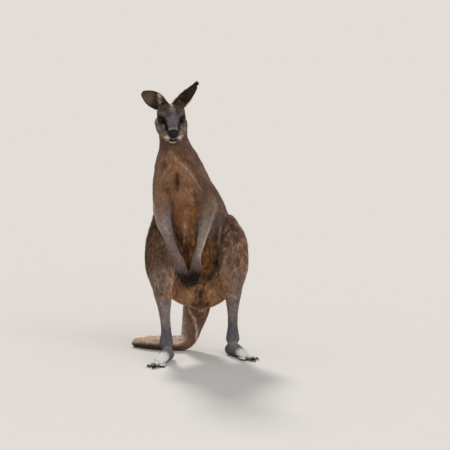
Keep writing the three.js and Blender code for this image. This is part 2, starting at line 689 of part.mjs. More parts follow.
// A foot: sole and instep, and the toes with their claws.
async function buildFoot(name, leg) {
  const { heel, toe } = leg;
  const low = [Math.min(heel[0], toe[0]) - 80, Math.min(heel[1], toe[1]) - 60, -50];
  const high = [Math.max(heel[0], toe[0]) + 90, Math.max(heel[1], toe[1]) + 80, 150];
  let foot = solidFromGeometry(await thinOut(meshField(BODY, low, high, 11), 190));
  const claws = [];
  for (const [number, { from, to, across, radius }] of Object.entries(TOES)) {
    const height = radius - 1;
    const at = (t, lift = 0) => footPoint(leg, mix(from, to, t), height + lift, mix(across[0], across[1], t));
    const joint = at(0.6, radius * TOE_LIFT);
    const line = unit(add(at(1), joint, -1));
    foot = foot.add(tube([[...at(0), radius, radius], [...joint, radius, radius],
      [...at(1), radius * 0.8, radius * 0.8]], 6, footSide(leg), 1, [BLUNT, 0]));
    claws.push({ number, root: add(at(1), line, CLAW_GAP), line });
  }
  for (const { number, root, line } of claws) {
    const size = TOE_CLAWS[number];
    const nail = claw(root, line, [0, 0, -1], size).intersect(ABOVE_FLOOR);
    piece(`claw_foot_${name}_${number}`, nail, 'dark', 0.35);
  }
  const number = CUTTERS.findIndex(([own]) => own === `foot_${name}`);
  foot = foot.intersect(CUTTERS[number][1](GAP)).intersect(ABOVE_FLOOR);
  return largest(foot);
}

// An ear's half width at the share t of its length: it opens from the root, then closes to
// the tip.
function earHalfWidth(halfWidth, narrow, t) {
  const root = narrow + (1 - narrow) * Math.sin(Math.PI / 2 * Math.min(1, Math.max(-1, (t + 0.1) / 0.45)));
  const point = Math.max(0, Math.min(1, (t - 0.35) / 0.65));
  return halfWidth * root * (1 - 0.86 * point * point);
}

// An ear: a bent leaf with its hollow side facing a given way. Rows run from the root to
// the tip; over each row the leaf is a shallow trough.
function buildEar({ root, tip, facing, halfWidth, narrow, hollow }) {
  const axis = unit(add(tip, root, -1));
  const out = unit(add(facing, axis, -dot(facing, axis)));
  const side = cross(axis, out);
  const long = length(add(tip, root, -1));
  const rows = 7;
  const columns = 6;
  const surface = (row, column, face) => {
    const t = mix(-EAR_ROOT_DEPTH / long, 0.985, row / rows);
    const u = column / columns * 2 - 1;
    const deep = -hollow * (1.15 - 0.75 * Math.max(0, t)) * (1 - u * u);
    const thick = EAR_THICK * (1.1 - 0.5 * Math.max(0, t)) * Math.sqrt(1.02 - u * u);
    const p = add(add(root, axis, t * long), side, u * earHalfWidth(halfWidth, narrow, t));
    return add(p, out, deep + face * thick / 2);
  };
  const vertices = [];
  const triangles = [];
  const stride = columns + 1;
  for (const face of [-1, 1]) {
    for (let row = 0; row <= rows; row += 1) {
      for (let column = 0; column <= columns; column += 1) vertices.push(surface(row, column, face));
    }
  }
  const back = 0;
  const front = (rows + 1) * stride;
  const quad = (a, b, c, d) => triangles.push(a, c, b, a, d, c);
  for (let row = 0; row < rows; row += 1) {
    for (let column = 0; column < columns; column += 1) {
      const a = row * stride + column;
      quad(back + a, back + a + 1, back + a + stride + 1, back + a + stride);
      quad(front + a, front + a + stride, front + a + stride + 1, front + a + 1);
    }
    const left = row * stride;
    const right = left + columns;
    quad(front + left, back + left, back + left + stride, front + left + stride);
    quad(back + right, front + right, front + right + stride, back + right + stride);
  }
  for (let column = 0; column < columns; column += 1) {
    const end = rows * stride + column;
    quad(front + column, front + column + 1, back + column + 1, back + column);
    quad(back + end, back + end + 1, front + end + 1, front + end);
  }
  return solidFrom({ vertices, triangles });
}

// A ball or egg in the head's frame. That frame is left-handed, so the side is negated to keep
// the faces pointing out.
function egg(centre, radii, wide = 10, high = 7) {
  const geometry = new THREE.SphereGeometry(1, wide, high);
  const position = geometry.getAttribute('position');
  for (let i = 0; i < position.count; i += 1) {
    const local = [-position.getX(i) * radii[0], position.getY(i) * radii[1], position.getZ(i) * radii[2]];
    position.setXYZ(i, ...fromHead(add(centre, local)));
  }
  return solidFromGeometry(geometry);
}

// The head: the eyes lie in sockets, and the tip of the muzzle is the nose pad.
async function buildHead() {
  let head = await bodyPiece('head');
  for (const [name, sign] of [['r', -1], ['l', 1]]) {
    const centre = [EYE_PLACE[0] * sign, EYE_PLACE[1], EYE_PLACE[2]];
    const size = (grow) => Array(3).fill(EYE_RADIUS + grow);
    piece(`eye_${name}`, egg(centre, size(0)), 'eye', 0.1);
    head = head.subtract(egg(centre, size(GAP)));
  }
  const nose = head.intersect(egg(NOSE_PLACE, NOSE_RADII.map((r) => r - GAP)));
  head = head.subtract(egg(NOSE_PLACE, NOSE_RADII));
  piece('nose', largest(nose), 'dark', 0.5);
  return head;
}

// ---------------------------------------------------------------- the whole animal

for (const [side, arm] of Object.entries(ARMS)) {
  piece(`forearm_${side}`, largest(forearm(arm, 0)), 'limb');
  piece(`hand_${side}`, buildHand(side, arm), 'dark', 0.8);
  piece(`foot_${side}`, await buildFoot(side, LEGS[side]), 'limb');
}
const head = await buildHead();
piece('head', head, REGIONS.head.colour);
for (const [side, ear] of Object.entries(EARS)) piece(`ear_${side}`, buildEar(ear).subtract(head), 'coat');
for (const [name, { colour }] of Object.entries(REGIONS)) {
  if (name !== 'head') piece(name, await bodyPiece(name), colour);
}

// The finished pieces become meshes, with the middle of the floor plan at the origin.
const box = { low: [Infinity, Infinity, Infinity], high: [-Infinity, -Infinity, -Infinity] };
for (const { solid } of pieces) {
  const { min, max } = solid.boundingBox();
  box.low = box.low.map((v, k) => Math.min(v, min[k]));
  box.high = box.high.map((v, k) => Math.max(v, max[k]));
}
const shift = [-(box.low[0] + box.high[0]) / 2, -(box.low[1] + box.high[1]) / 2, -box.low[2]];

for (const { name, solid, colour, roughness } of pieces) {
  const { vertProperties, triVerts, numProp } = solid.getMesh();
  const position = new Float32Array(vertProperties.length / numProp * 3);
  for (let i = 0; i < position.length / 3; i += 1) {
    for (let k = 0; k < 3; k += 1) position[i * 3 + k] = vertProperties[i * numProp + k] + shift[k];
  }
  const geometry = new THREE.BufferGeometry();
  geometry.setAttribute('position', new THREE.BufferAttribute(position, 3));
  geometry.setIndex(new THREE.BufferAttribute(new Uint32Array(triVerts), 1));
  geometry.computeVertexNormals();
  const color = new THREE.Color(...COLOURS[colour]);
  const material = new THREE.MeshStandardMaterial({ color, roughness, metalness: 0 });
  const mesh = new THREE.Mesh(geometry, material);
  mesh.name = name;
  model.add(mesh);
}

export default model;
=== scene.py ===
"""The looks of a standing kangaroo: skin, coat, ears, eyes, nose and claws, in a plain studio.

Shapes are worked out in millimetres in the animal's own frame: +Z is up, the animal faces -Y,
and "r" is its own right side (-X). The frame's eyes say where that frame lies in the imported
model, so every piece is laid in place in metres with nothing fitted by hand.
"""

import sys

import logging
import math
from collections.abc import Iterator
from dataclasses import dataclass, field
from enum import Enum

import bpy
import numpy as np
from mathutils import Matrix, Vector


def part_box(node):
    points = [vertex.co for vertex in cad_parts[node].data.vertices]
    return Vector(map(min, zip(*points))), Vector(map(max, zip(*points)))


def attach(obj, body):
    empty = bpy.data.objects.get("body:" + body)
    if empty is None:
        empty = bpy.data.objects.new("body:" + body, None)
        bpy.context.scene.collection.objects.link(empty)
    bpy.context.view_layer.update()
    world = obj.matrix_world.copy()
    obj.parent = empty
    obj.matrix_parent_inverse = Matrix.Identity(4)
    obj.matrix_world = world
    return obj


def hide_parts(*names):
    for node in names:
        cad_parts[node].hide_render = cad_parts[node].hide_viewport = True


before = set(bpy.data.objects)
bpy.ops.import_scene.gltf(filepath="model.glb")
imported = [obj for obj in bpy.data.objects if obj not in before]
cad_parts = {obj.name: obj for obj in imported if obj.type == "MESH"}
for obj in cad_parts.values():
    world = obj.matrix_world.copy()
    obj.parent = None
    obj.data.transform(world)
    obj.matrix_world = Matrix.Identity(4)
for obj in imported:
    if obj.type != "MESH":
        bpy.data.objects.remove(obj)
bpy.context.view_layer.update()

Array = np.ndarray
Triple = tuple[float, float, float]
MM = 0.001
SEED = 7
LOG = logging.getLogger("kangaroo")
LATTICE_FACTORS = np.array([73856093, 19349663, 83492791])
SALT_FACTOR = 2654435761
MIX_FACTOR = 1274126177
LOW_BITS = 0xFFFFFF
FAR_AWAY = 1e6                      # mm


# ------------------------------------------------------------------ small tools


def vec(*values: float) -> Array:
    """The values as one numpy vector."""
    return np.array(values, dtype=float)


def unit(vectors: Array) -> Array:
    """Vectors, along the last axis, divided by their length."""
    return vectors / np.maximum(np.linalg.norm(vectors, axis=-1, keepdims=True), 1e-9)


def dot(a: Array, b: Array) -> Array:
    """Dot products along the last axis."""
    return (a * b).sum(-1)


def smooth(x: Array, low: float, high: float) -> Array:
    """0 below low, 1 above high, and 3t^2 - 2t^3 between them (high may be the smaller)."""
    t = np.clip((x - low) / (high - low), 0, 1)
    return t * t * (3 - 2 * t)


def hill(x: Array, middle: float, width: float) -> Array:
    """A bell, exp(-((x - middle) / width)^2)."""
    return np.exp(-(((x - middle) / width) ** 2))


def blend(a: Array, b: Array | Triple, share: Array) -> Array:
    """Colours a turned into b by a share from 0 to 1 at each place."""
    share = np.asarray(share)[..., None]
    return a * (1 - share) + np.asarray(b) * share


def whole_turn(count: int) -> Array:
    """The angles of evenly spaced places on a whole turn."""
    return np.arange(count) / count * 2 * math.pi


def scatter(cells: Array, salt: int) -> Array:
    """A number from 0 to 1 for each lattice cell, the same on every run.

    The whole-number coordinates are multiplied by large odd numbers, added, and mixed by
    shifts and products; the low 24 bits give the number.

    Args:
        cells: whole-number coordinates, one row each.
        salt: a number that makes one set of values differ from another.

    Returns:
        One number for each row.
    """
    mixed = (cells.astype(np.int64) * LATTICE_FACTORS).sum(-1) + salt * SALT_FACTOR
    mixed = (mixed ^ (mixed >> 13)) * MIX_FACTOR
    mixed = (mixed ^ (mixed >> 16)) & LOW_BITS
    return mixed / float(LOW_BITS)


def cloud(points: Array, size: float, salt: int = 0) -> Array:
    """Smooth noise from -1 to 1 with features of a given size.

    Each point takes the eight corners of its lattice cell, weighted by 3t^2 - 2t^3 of its
    place in the cell along each axis.

    Args:
        points: places, one row each.
        size: the features' size.
        salt: which of many such noises.

    Returns:
        One number for each point.
    """
    scaled = points / size
    base = np.floor(scaled)
    t = scaled - base
    t = t * t * (3 - 2 * t)
    total = np.zeros(len(points))
    for corner in np.ndindex(2, 2, 2):
        weight = np.prod(np.where(np.array(corner) == 1, t, 1 - t), axis=1)
        total += weight * scatter(base + corner, salt)
    return 2 * total - 1


# ------------------------------------------------------------------ the flesh as a field


class Space(Enum):
    """The frame that a chain's stations are given in."""

    BODY = "body"
    HEAD = "head"


class Part(Enum):
    """The parts of the body that differ in coat and colour."""

    FACE = 0
    NECK = 1
    TRUNK = 2
    BELLY = 3
    HAUNCH = 4
    ARM = 5
    FOREARM = 6
    HAND = 7
    SHIN = 8
    FOOT = 9
    TAIL = 10


def share_of(shares: Array, *parts: Part) -> Array:
    """How much each place belongs to any of the parts."""
    return shares[:, [part.value for part in parts]].sum(1)


@dataclass(frozen=True)
class HeadFrame:
    """The head's own axes: side (to the animal's left), forward and up."""

    place: Triple = (-130, -122, 1250)
    pitch: float = 10               # degrees, nose down
    yaw: float = 7                  # degrees, towards the animal's left

    def axes(self) -> Array:
        """Side, forward and up as the rows of a matrix.

        Returns:
            A matrix of three rows.
        """
        pitch, yaw = math.radians(self.pitch), math.radians(self.yaw)
        forward = vec(math.sin(yaw) * math.cos(pitch), -math.cos(yaw) * math.cos(pitch), -math.sin(pitch))
        side = vec(math.cos(yaw), math.sin(yaw), 0)
        up = np.cross(side, -forward)
        return np.stack([side, forward, up * np.sign(up[2])])

    def local(self, points: Array) -> Array:
        """Points of the body as side, forward and up."""
        return (points - np.array(self.place)) @ self.axes().T

    def world(self, local: Array) -> Array:
        """Points given as side, forward and up, back in the body's frame."""
        return np.asarray(local) @ self.axes() + np.array(self.place)


HEAD = HeadFrame()


@dataclass
class Chain:
    """A muscle, limb or hollow: elliptical stations [x, y, z, half width, half depth].

    Attributes:
        stations: the given stations; more are put between them on a Catmull-Rom curve.
        melt: the width in mm over which the chain melts into what was laid before it.
        part: the part of the body it belongs to.
        side: the direction that the half width is measured along.
        space: the frame of the stations.
        mirror: the chain is there on both sides of the head.
        carve: the chain is taken away instead of added.
        lie: 1 if the hair lies along the stations' order, -1 if against it, or a direction.
    """

    stations: list
    melt: float
    part: Part
    side: Triple = (1, 0, 0)
    space: Space = Space.BODY
    mirror: bool = False
    carve: bool = False
    lie: float | Triple = 1.0
    links: Array = field(init=False)
    low: Array = field(init=False)
    high: Array = field(init=False)

    def __post_init__(self) -> None:
        """Works out the finer stations and the box beyond which the chain has no say."""
        given = np.array(self.stations, dtype=float)
        self.links = resample(given, 4 if len(given) > 2 else 1)
        reach = given[:, 3:].max() + 70
        self.low = given[:, :3].min(0) - reach
        self.high = given[:, :3].max(0) + reach

    def nearest(self, points: Array) -> tuple[Array, Array]:
        """Distance to the chain and the direction along it.

        On each link the section is an ellipse: the distance is the way to the axis less that
        way divided by its length measured in half axes. The least over the links counts.

        Args:
            points: places in the chain's own frame, one a row.

        Returns:
            The distance at each point, and the unit direction of the nearest link.
        """
        best = np.full(len(points), np.inf)
        number = np.zeros(len(points), dtype=int)
        side = unit(np.array(self.side, dtype=float))
        start, end = self.links[:-1], self.links[1:]
        for i, (a, b) in enumerate(zip(start, end)):
            line = b[:3] - a[:3]
            t = np.clip((points - a[:3]) @ line / (line @ line), 0, 1)
            q = points - a[:3] - t[:, None] * line
            wide = a[3] + (b[3] - a[3]) * t
            deep = a[4] + (b[4] - a[4]) * t
            across = q @ side
            far2 = dot(q, q)
            ratio = np.sqrt((across / wide) ** 2 + np.maximum(far2 - across**2, 0) / deep**2) + 1e-9
            far = np.sqrt(far2)
            here = far - far / ratio
            closer = here < best
            best = np.where(closer, here, best)
            number = np.where(closer, i, number)
        return best, unit((end - start)[:, :3])[number]


def resample(stations: Array, steps: int) -> Array:
    """Stations with others put between them on a Catmull-Rom curve.

    Args:
        stations: the given stations, one a row.
        steps: how many lengths each stretch is cut into.

    Returns:
        The finer stations, with the last given one at the end.
    """
    padded = np.concatenate([[2 * stations[0] - stations[1]], stations, [2 * stations[-1] - stations[-2]]])
    a, b, c, d = padded[:-3, None], padded[1:-2, None], padded[2:-1, None], padded[3:, None]
    t = (np.arange(steps) / steps)[None, :, None]
    bend, twist = 2 * a - 5 * b + 4 * c - d, 3 * b - a - 3 * c + d
    curve = 0.5 * (2 * b + (c - a) * t + bend * t**2 + twist * t**3)
    return np.concatenate([curve.reshape(-1, stations.shape[1]), stations[-1:]])


def melted(a: Array, b: Array, width: float) -> Array:
    """The smaller of two distances, rounded off by h^3 * width / 6 where they are close.

    h is 1 - |a - b| / width where that is positive.

    Args:
        a: distances.
        b: other distances at the same points.
        width: how close they are when they begin to melt.

    Returns:
        The melted distances.
    """
    if width <= 0:
        return np.minimum(a, b)
    h = np.maximum(width - np.abs(a - b), 0) / width
    return np.minimum(a, b) - h**3 * width / 6


@dataclass
class Flesh:
    """All chains of the body, melted into each other in order."""

    chains: list[Chain]
    say_reach: float = 12           # mm over which a chain's say in the coat falls to 1/e

    def _met(self, points: Array) -> Iterator[tuple[Chain, Array, Array, Array]]:
        """Goes through the chains that have a say at any of the points.

        Args:
            points: places in the body's frame.

        Yields:
            The chain, the numbers of the points in its box, their distances from it, and the
            chain's direction beside them, in its own frame.
        """
        in_head = HEAD.local(points)
        mirrored = np.concatenate([np.abs(in_head[:, :1]), in_head[:, 1:]], axis=1)
        for chain in self.chains:
            own = points if chain.space is Space.BODY else mirrored if chain.mirror else in_head
            near = np.flatnonzero(((own > chain.low) & (own < chain.high)).all(1))
            if len(near):
                yield chain, near, *chain.nearest(own[near])

    def value(self, points: Array) -> Array:
        """Distance from the outside of the coat: below zero inside the animal.

        Args:
            points: places in the body's frame.

        Returns:
            One distance for each.
        """
        out = np.full(len(points), FAR_AWAY)
        for chain, near, here, _ in self._met(points):
            old = out[near]
            out[near] = -melted(-old, here, chain.melt) if chain.carve else melted(old, here, chain.melt)
        return out

    def slope(self, points: Array, step: float = 1.0) -> Array:
        """Central differences of the field along the three axes.

        Args:
            points: places in the body's frame.
            step: half the span of each difference.

        Returns:
            A direction out of the body for each place, about 1 long.
        """
        ways = np.eye(3) * step
        rises = [self.value(points + way) - self.value(points - way) for way in ways]
        return np.stack(rises, axis=1) / (2 * step)

    def settle(self, points: Array, depth: Array | float, rounds: int = 3, cap: float = 6.0) -> Array:
        """Moves points along the slope until the field reads -depth (Newton's steps, capped).

        Args:
            points: places near the surface.
            depth: how far under the surface they end.
            rounds: how many steps.
            cap: the longest step.

        Returns:
            The moved places.
        """
        for _ in range(rounds):
            slope = self.slope(points)
            move = -((self.value(points) + depth) / np.maximum(dot(slope, slope), 0.2))[:, None] * slope
            size = np.linalg.norm(move, axis=1, keepdims=True)
            points = points + move * np.minimum(1, cap / np.maximum(size, 1e-9))
        return points

    def nature(self, points: Array) -> tuple[Array, Array]:
        """What part of the body each point belongs to, and which way its hair lies.

        Every chain has a say of exp(-distance / say_reach); the says are added up for each
        part, and the chains' directions are added with the same weights.

        Args:
            points: places on the skin.

        Returns:
            Shares of the parts, one column for each Part, and the direction of the hair.
        """
        shares = np.zeros((len(points), len(Part)))
        lie = np.zeros((len(points), 3))
        in_head = HEAD.local(points)
        for chain, near, distance, way in self._met(points):
            if chain.carve:
                continue
            say = np.exp(-np.maximum(distance, 0) / self.say_reach)
            if isinstance(chain.lie, tuple):
                way = np.broadcast_to(unit(np.array(chain.lie, dtype=float)), way.shape)
            else:
                way = way * chain.lie
            if chain.space is Space.HEAD:
                flip = np.where(chain.mirror & (in_head[near, 0] < 0), -1, 1)
                way = np.stack([way[:, 0] * flip, way[:, 1], way[:, 2]], axis=1) @ HEAD.axes()
            shares[near, chain.part.value] += say
            lie[near] += say[:, None] * way
        return shares / np.maximum(shares.sum(1, keepdims=True), 1e-9), unit(lie)


# ------------------------------------------------------------------ anatomy, in millimetres


@dataclass(frozen=True)
class Trunk:
    """Ribs, neck, nape and the two breast muscles, with the folds that run to the shoulders."""

    turn: float = 6                 # degrees that the trunk is turned on plan

    def chains(self) -> list[Chain]:
        """The chains from the loins up to the throat.

        Returns:
            The chains, in the order in which they melt together.
        """
        turned = (math.cos(math.radians(self.turn)), -math.sin(math.radians(self.turn)), 0)
        down = -1.0
        return [
            Chain([[14, 118, 395, 100, 90], [10, 88, 490, 142, 130], [4, 56, 600, 172, 152],
                   [-4, 38, 700, 174, 150], [-24, 20, 795, 158, 134], [-54, 6, 880, 131, 120],
                   [-84, -10, 955, 112, 106], [-98, -20, 1025, 106, 88]], 0, Part.TRUNK, turned, lie=down),
            Chain([[-100, -22, 1025, 106, 90], [-111, -38, 1085, 88, 78], [-122, -52, 1145, 75, 72],
                   [-126, -60, 1205, 76, 66]], 40, Part.NECK, lie=down),
            Chain([[-122, -10, 1110, 42, 42], [-146, -14, 1055, 50, 48], [-163, -20, 1000, 50, 52]],
                  40, Part.NECK),
            Chain([[-78, -82, 1010, 32, 32], [-112, -92, 945, 44, 40], [-160, -70, 905, 42, 40]],
                  24, Part.TRUNK),
            Chain([[-66, -84, 1010, 32, 32], [-34, -96, 945, 44, 40], [8, -78, 905, 42, 40]],
                  24, Part.TRUNK),
        ]


@dataclass(frozen=True)
class Arm:
    """One arm and hand: upper arm, forearm, palm and five fingers."""

    name: str
    upper: list
    fore: list
    wrist: Triple
    knuckles: Triple
    reach: Triple
    finger_length: float = 66
    finger_radius: float = 6.2
    claw_gap: float = 0.6
    claw_length: float = 36
    claw_radius: float = 4.6
    claw_bend: float = 26           # degrees
    # place across the knuckles, share of the middle finger's length, and turn outwards
    fingers: tuple = ((-28, 0.84, 0.04), (-15, 0.98, 0.02), (-1, 1.0, 0), (13, 0.92, -0.02),
                      (27, 0.76, -0.05))

    @property
    def sign(self) -> int:
        """1 for the animal's right hand, -1 for its left."""
        return 1 if self.name == "r" else -1

    def finger_line(self, across: float, share: float, turn: float) -> tuple[Array, Array, Array, Array]:
        """Root, middle joint and tip of one finger, and its straight direction.

        Args:
            across: how far the root lies from the knuckles' middle.
            share: length, as a share of the longest finger.
            turn: how far it is turned outwards.

        Returns:
            Three places and a direction.
        """
        root = vec(*self.knuckles) + vec(across * self.sign, 0, abs(across) * 0.2)
        line = unit(unit(vec(*self.reach)) + vec(turn * self.sign, 0, 0))
        tip = root + line * self.finger_length * share
        joint = root + line * self.finger_length * share * 0.5 + vec(0, -4, 0)
        return root, joint, tip, line

    def chains(self) -> list[Chain]:
        """Upper arm, forearm, palm, thumb ball and fingers.

        Returns:
            The chains, in the order in which they melt together.
        """
        wrist, knuckles = vec(*self.wrist), vec(*self.knuckles)
        down = knuckles - wrist
        palm = [[*wrist, 21, 18], [*(wrist + down * 0.3), 27, 18],
                [*(wrist + down * 0.7), 31, 16], [*knuckles, 31, 13]]
        out = [Chain(self.upper, 35, Part.ARM), Chain(self.fore, 20, Part.FOREARM),
               Chain(palm, 20, Part.HAND)]
        for finger in self.fingers:
            root, joint, tip, line = self.finger_line(*finger)
            r = self.finger_radius
            out.append(Chain([[*(root - line * 4), r, r], [*joint, r - 1, r - 1], [*tip, r - 2, r - 2]],
                             3, Part.HAND))
        return out

    def claws(self) -> list["Claw"]:
        """The claw of each finger.

        Returns:
            The claws, in the order of their digits.
        """
        down = unit(vec(0.12 * self.sign, 0.25, -0.1))
        made = []
        for finger in self.fingers:
            _, joint, tip, _ = self.finger_line(*finger)
            way = unit(tip - joint)
            made.append(Claw(tip + way * self.claw_gap, way, down, self.claw_length, self.claw_radius,
                             self.claw_bend))
        return made


@dataclass(frozen=True)
class Leg:
    """One hind leg: rump, thigh, ham, shin, foot and four toes."""

    name: str
    knee: tuple[float, float]
    ankle: tuple[float, float]
    heel: tuple[float, float]
    toe: tuple[float, float]
    thigh: float                    # half width at the middle of the thigh
    hip: Triple                     # across, height and half width where the thigh starts
    hip_half_width: float = 118
    middle: float = 4               # the body's middle line at the hips
    claw_gap: float = 0.6
    # toe: number, from and to as shares of the foot, place across at both ends, radius, and
    # the claw's length, radius and bend
    toes: tuple = (
        (4, 0.62, 0.91, 2, 2, 16, 42, 9, 30),
        (5, 0.56, 0.82, 20, 37, 12, 27, 6.5, 24),
        (3, 0.58, 0.815, -17, -25, 7.5, 19, 4.6, 20),
        (2, 0.58, 0.8, -24, -38, 7.5, 19, 4.6, 20),
    )

    @property
    def sign(self) -> int:
        """-1 for the animal's right leg, 1 for its left."""
        return -1 if self.name == "r" else 1

    def on_foot(self, share: float, z: float, across: float = 0) -> list[float]:
        """A place on the foot: share of the way from heel to toe, height, and way outwards.

        Args:
            share: share of the way from heel to toe.
            z: height.
            across: way outwards from the middle line.

        Returns:
            The place's three coordinates.
        """
        along = vec(*self.toe) - vec(*self.heel)
        out = vec(-along[1], along[0]) / np.linalg.norm(along)
        x, y = vec(*self.heel) + along * share + out * across * (1 if out[0] > 0 else -1) * self.sign
        return [x, y, z]

    def across_foot(self) -> Triple:
        """The level direction across the foot."""
        along = vec(*self.toe) - vec(*self.heel)
        return (-along[1], along[0], 0)

    def _shin_at(self, share: float, back: float, z: float, wide: float, deep: float) -> list[float]:
        """A station of the shin: share of the way from knee to ankle on plan, and so on.

        Args:
            share: share of the way from knee to ankle on plan.
            back: how far it lies behind that line.
            z: height.
            wide: half width.
            deep: half depth.

        Returns:
            The station.
        """
        x = self.knee[0] + (self.ankle[0] - self.knee[0]) * share
        y = self.knee[1] + (self.ankle[1] - self.knee[1]) * share + back
        return [x, y, z, wide, deep]

    def chains(self) -> list[Chain]:
        """The leg down to the ankle.

        Returns:
            The chains, in the order in which they melt together.
        """
        kx, ky = self.knee
        sign, middle, thigh = self.sign, self.middle, self.thigh
        at = self._shin_at
        return [
            Chain([[sign * 95 + middle, 106, 685, 62, 68],
                   [sign * (self.hip_half_width + 4) + middle, 92, 600, 92, 96],
                   [sign * self.hip_half_width + middle, 100, 500, 85, 90]], 45, Part.HAUNCH),
            Chain([[self.hip[0], 48, self.hip[1], self.hip[2], 82],
                   [sign * 180, ky * 0.1 + 6, 585, thigh, 110],
                   [kx * 1.02, ky * 0.5, 500, thigh - 3, 102], [kx, ky * 0.85, 440, 68, 74],
                   [kx, ky + 4, 405, 51, 54]], 30, Part.HAUNCH),
            Chain([[sign * 100 + middle, 96, 490, 72, 80], [kx * 0.72, ky * 0.1 + 24, 420, 58, 72],
                   [kx * 0.86, ky * 0.42 + 8, 362, 44, 58]], 40, Part.HAUNCH),
            Chain([at(0, 24, 430, 56, 66), at(0.15, 42, 365, 50, 66), at(0.45, 30, 300, 38, 50),
                   at(0.7, 12, 225, 28, 35), at(1, 4, 150, 27, 30), at(1, 0, 90, 36, 39)], 25, Part.SHIN),
        ]

    def toe_line(self, toe: tuple) -> tuple[list[float], list[float], list[float]]:
        """Root, middle joint and tip of one toe.

        Args:
            toe: its row in toes.

        Returns:
            Three places.
        """
        _, start, end, near, far, radius, *_ = toe
        height = radius - 1
        joint = self.on_foot(start + (end - start) * 0.6, height + radius * 0.12, near + (far - near) * 0.6)
        return self.on_foot(start, height, near), joint, self.on_foot(end, height, far)

    def foot_chains(self) -> list[Chain]:
        """Sole and instep, and the toes.

        Returns:
            The chains, in the order in which they melt together.
        """
        at = self.on_foot
        side = self.across_foot()
        out = [Chain([[*at(0.06, 28), 28, 29], [*at(0.2, 36), 30, 37], [*at(0.45, 27), 30, 28],
                      [*at(0.6, 21), 34, 22], [*at(0.7, 17), 29, 17]], 25, Part.FOOT, side)]
        for toe in self.toes:
            root, joint, tip = self.toe_line(toe)
            r = toe[5]
            out.append(Chain([[*root, r, r], [*joint, r, r], [*tip, r * 0.8, r * 0.8]], 7, Part.FOOT, side))
        return out

    def claws(self) -> list["Claw"]:
        """The claw of each toe.

        Returns:
            The claws, in the order of their digits.
        """
        made = []
        for toe in self.toes:
            _, joint, tip = (vec(*place) for place in self.toe_line(toe))
            way = unit(tip - joint)
            made.append(Claw(tip + way * self.claw_gap, way, vec(0, 0, -1), *toe[6:]))
        return made


@dataclass(frozen=True)
class Loins:
    """The low belly between the thighs, the purse and the vent behind it, and the tail."""

    def chains(self) -> list[Chain]:
        """Belly apron, purse and vent.

        Returns:
            The chains, in the order in which they melt together.
        """
        down = (0.0, 0.2, -1.0)
        return [
            Chain([[-112, -40, 352, 46, 54], [-58, -8, 322, 54, 68], [20, 30, 300, 58, 78],
                   [86, 28, 324, 56, 72], [130, 4, 366, 48, 58]], 40, Part.BELLY, (0, 0, 1), lie=down),
            Chain([[20, -38, 330, 26, 24], [20, -44, 298, 31, 29], [22, -30, 262, 22, 24]], 16, Part.BELLY,
                  lie=down),
            Chain([[18, 60, 320, 56, 66], [22, 84, 262, 34, 38], [26, 82, 218, 17, 21]],
                  30, Part.BELLY, lie=down),
        ]

    def tail_chains(self) -> list[Chain]:
        """The tail: a column that comes down behind, then turns to the right along the floor.

        Returns:
            The chains, in the order in which they melt together.
        """
        return [Chain([[6, 120, 520, 84, 92], [6, 168, 400, 80, 84], [4, 190, 300, 76, 76],
                       [-10, 188, 210, 71, 68], [-30, 180, 130, 56, 56], [-48, 168, 68, 46, 44],
                       [-84, 160, 42, 41, 43], [-160, 164, 40, 41, 42], [-250, 214, 36, 37, 38],
                       [-332, 286, 27, 29, 28]], 35, Part.TAIL)]


@dataclass(frozen=True)
class Skull:
    """The head without ears, eyes and nose pad, in the head's own frame."""

    eye_place: Triple = (50, 17, 6)
    eye_radius: float = 14.5

    def chains(self) -> list[Chain]:
        """Crown, muzzle, jaw, cheeks, ear roots, brows, cheekbones, lips, nose and sockets.

        Returns:
            The chains, in the order in which they melt together.
        """
        def head(stations: list, melt: float, mirror: bool = False, carve: bool = False,
                 lie: Triple | float = -1.0) -> Chain:
            """One chain of the head; its hair lies back from the nose, if not told otherwise."""
            return Chain(stations, melt, Part.FACE, space=Space.HEAD, mirror=mirror, carve=carve, lie=lie)
        return [
            head([[0, -84, 4, 50, 48], [0, -48, 14, 69, 48], [0, -6, 16, 61, 43], [0, 30, 2, 44, 38]], 20),
            head([[0, 16, -8, 44, 44], [0, 52, -30, 34, 36], [0, 82, -43, 29, 30],
                  [0, 98, -50, 28, 26]], 20),
            head([[0, -46, -50, 54, 40], [0, 10, -72, 46, 33], [0, 54, -83, 34, 24],
                  [0, 84, -87, 23, 18]], 18),
            head([[50, -46, -26, 35, 38], [47, 0, -48, 32, 36], [38, 40, -66, 24, 26]], 20, mirror=True),
            head([[52, -46, 30, 22, 24], [55, -20, 10, 20, 20]], 16, mirror=True),
            head([[28, 4, 36, 16, 12], [44, 16, 26, 12, 11], [54, 22, 14, 9, 9]], 12, mirror=True),
            head([[55, 0, -22, 13, 12], [44, 34, -26, 13, 12]], 14, mirror=True),
            head([[31, 56, -70, 18, 17], [28, 84, -76, 18, 18]], 12, mirror=True, lie=(0.35, -0.6, -0.7)),
            head([[0, 92, -44, 25, 19], [0, 106, -52, 25, 20]], 10),
            head([[56, 27, 6, 11, 11], [70, 40, 7, 15, 13]], 8, mirror=True, carve=True),
        ]


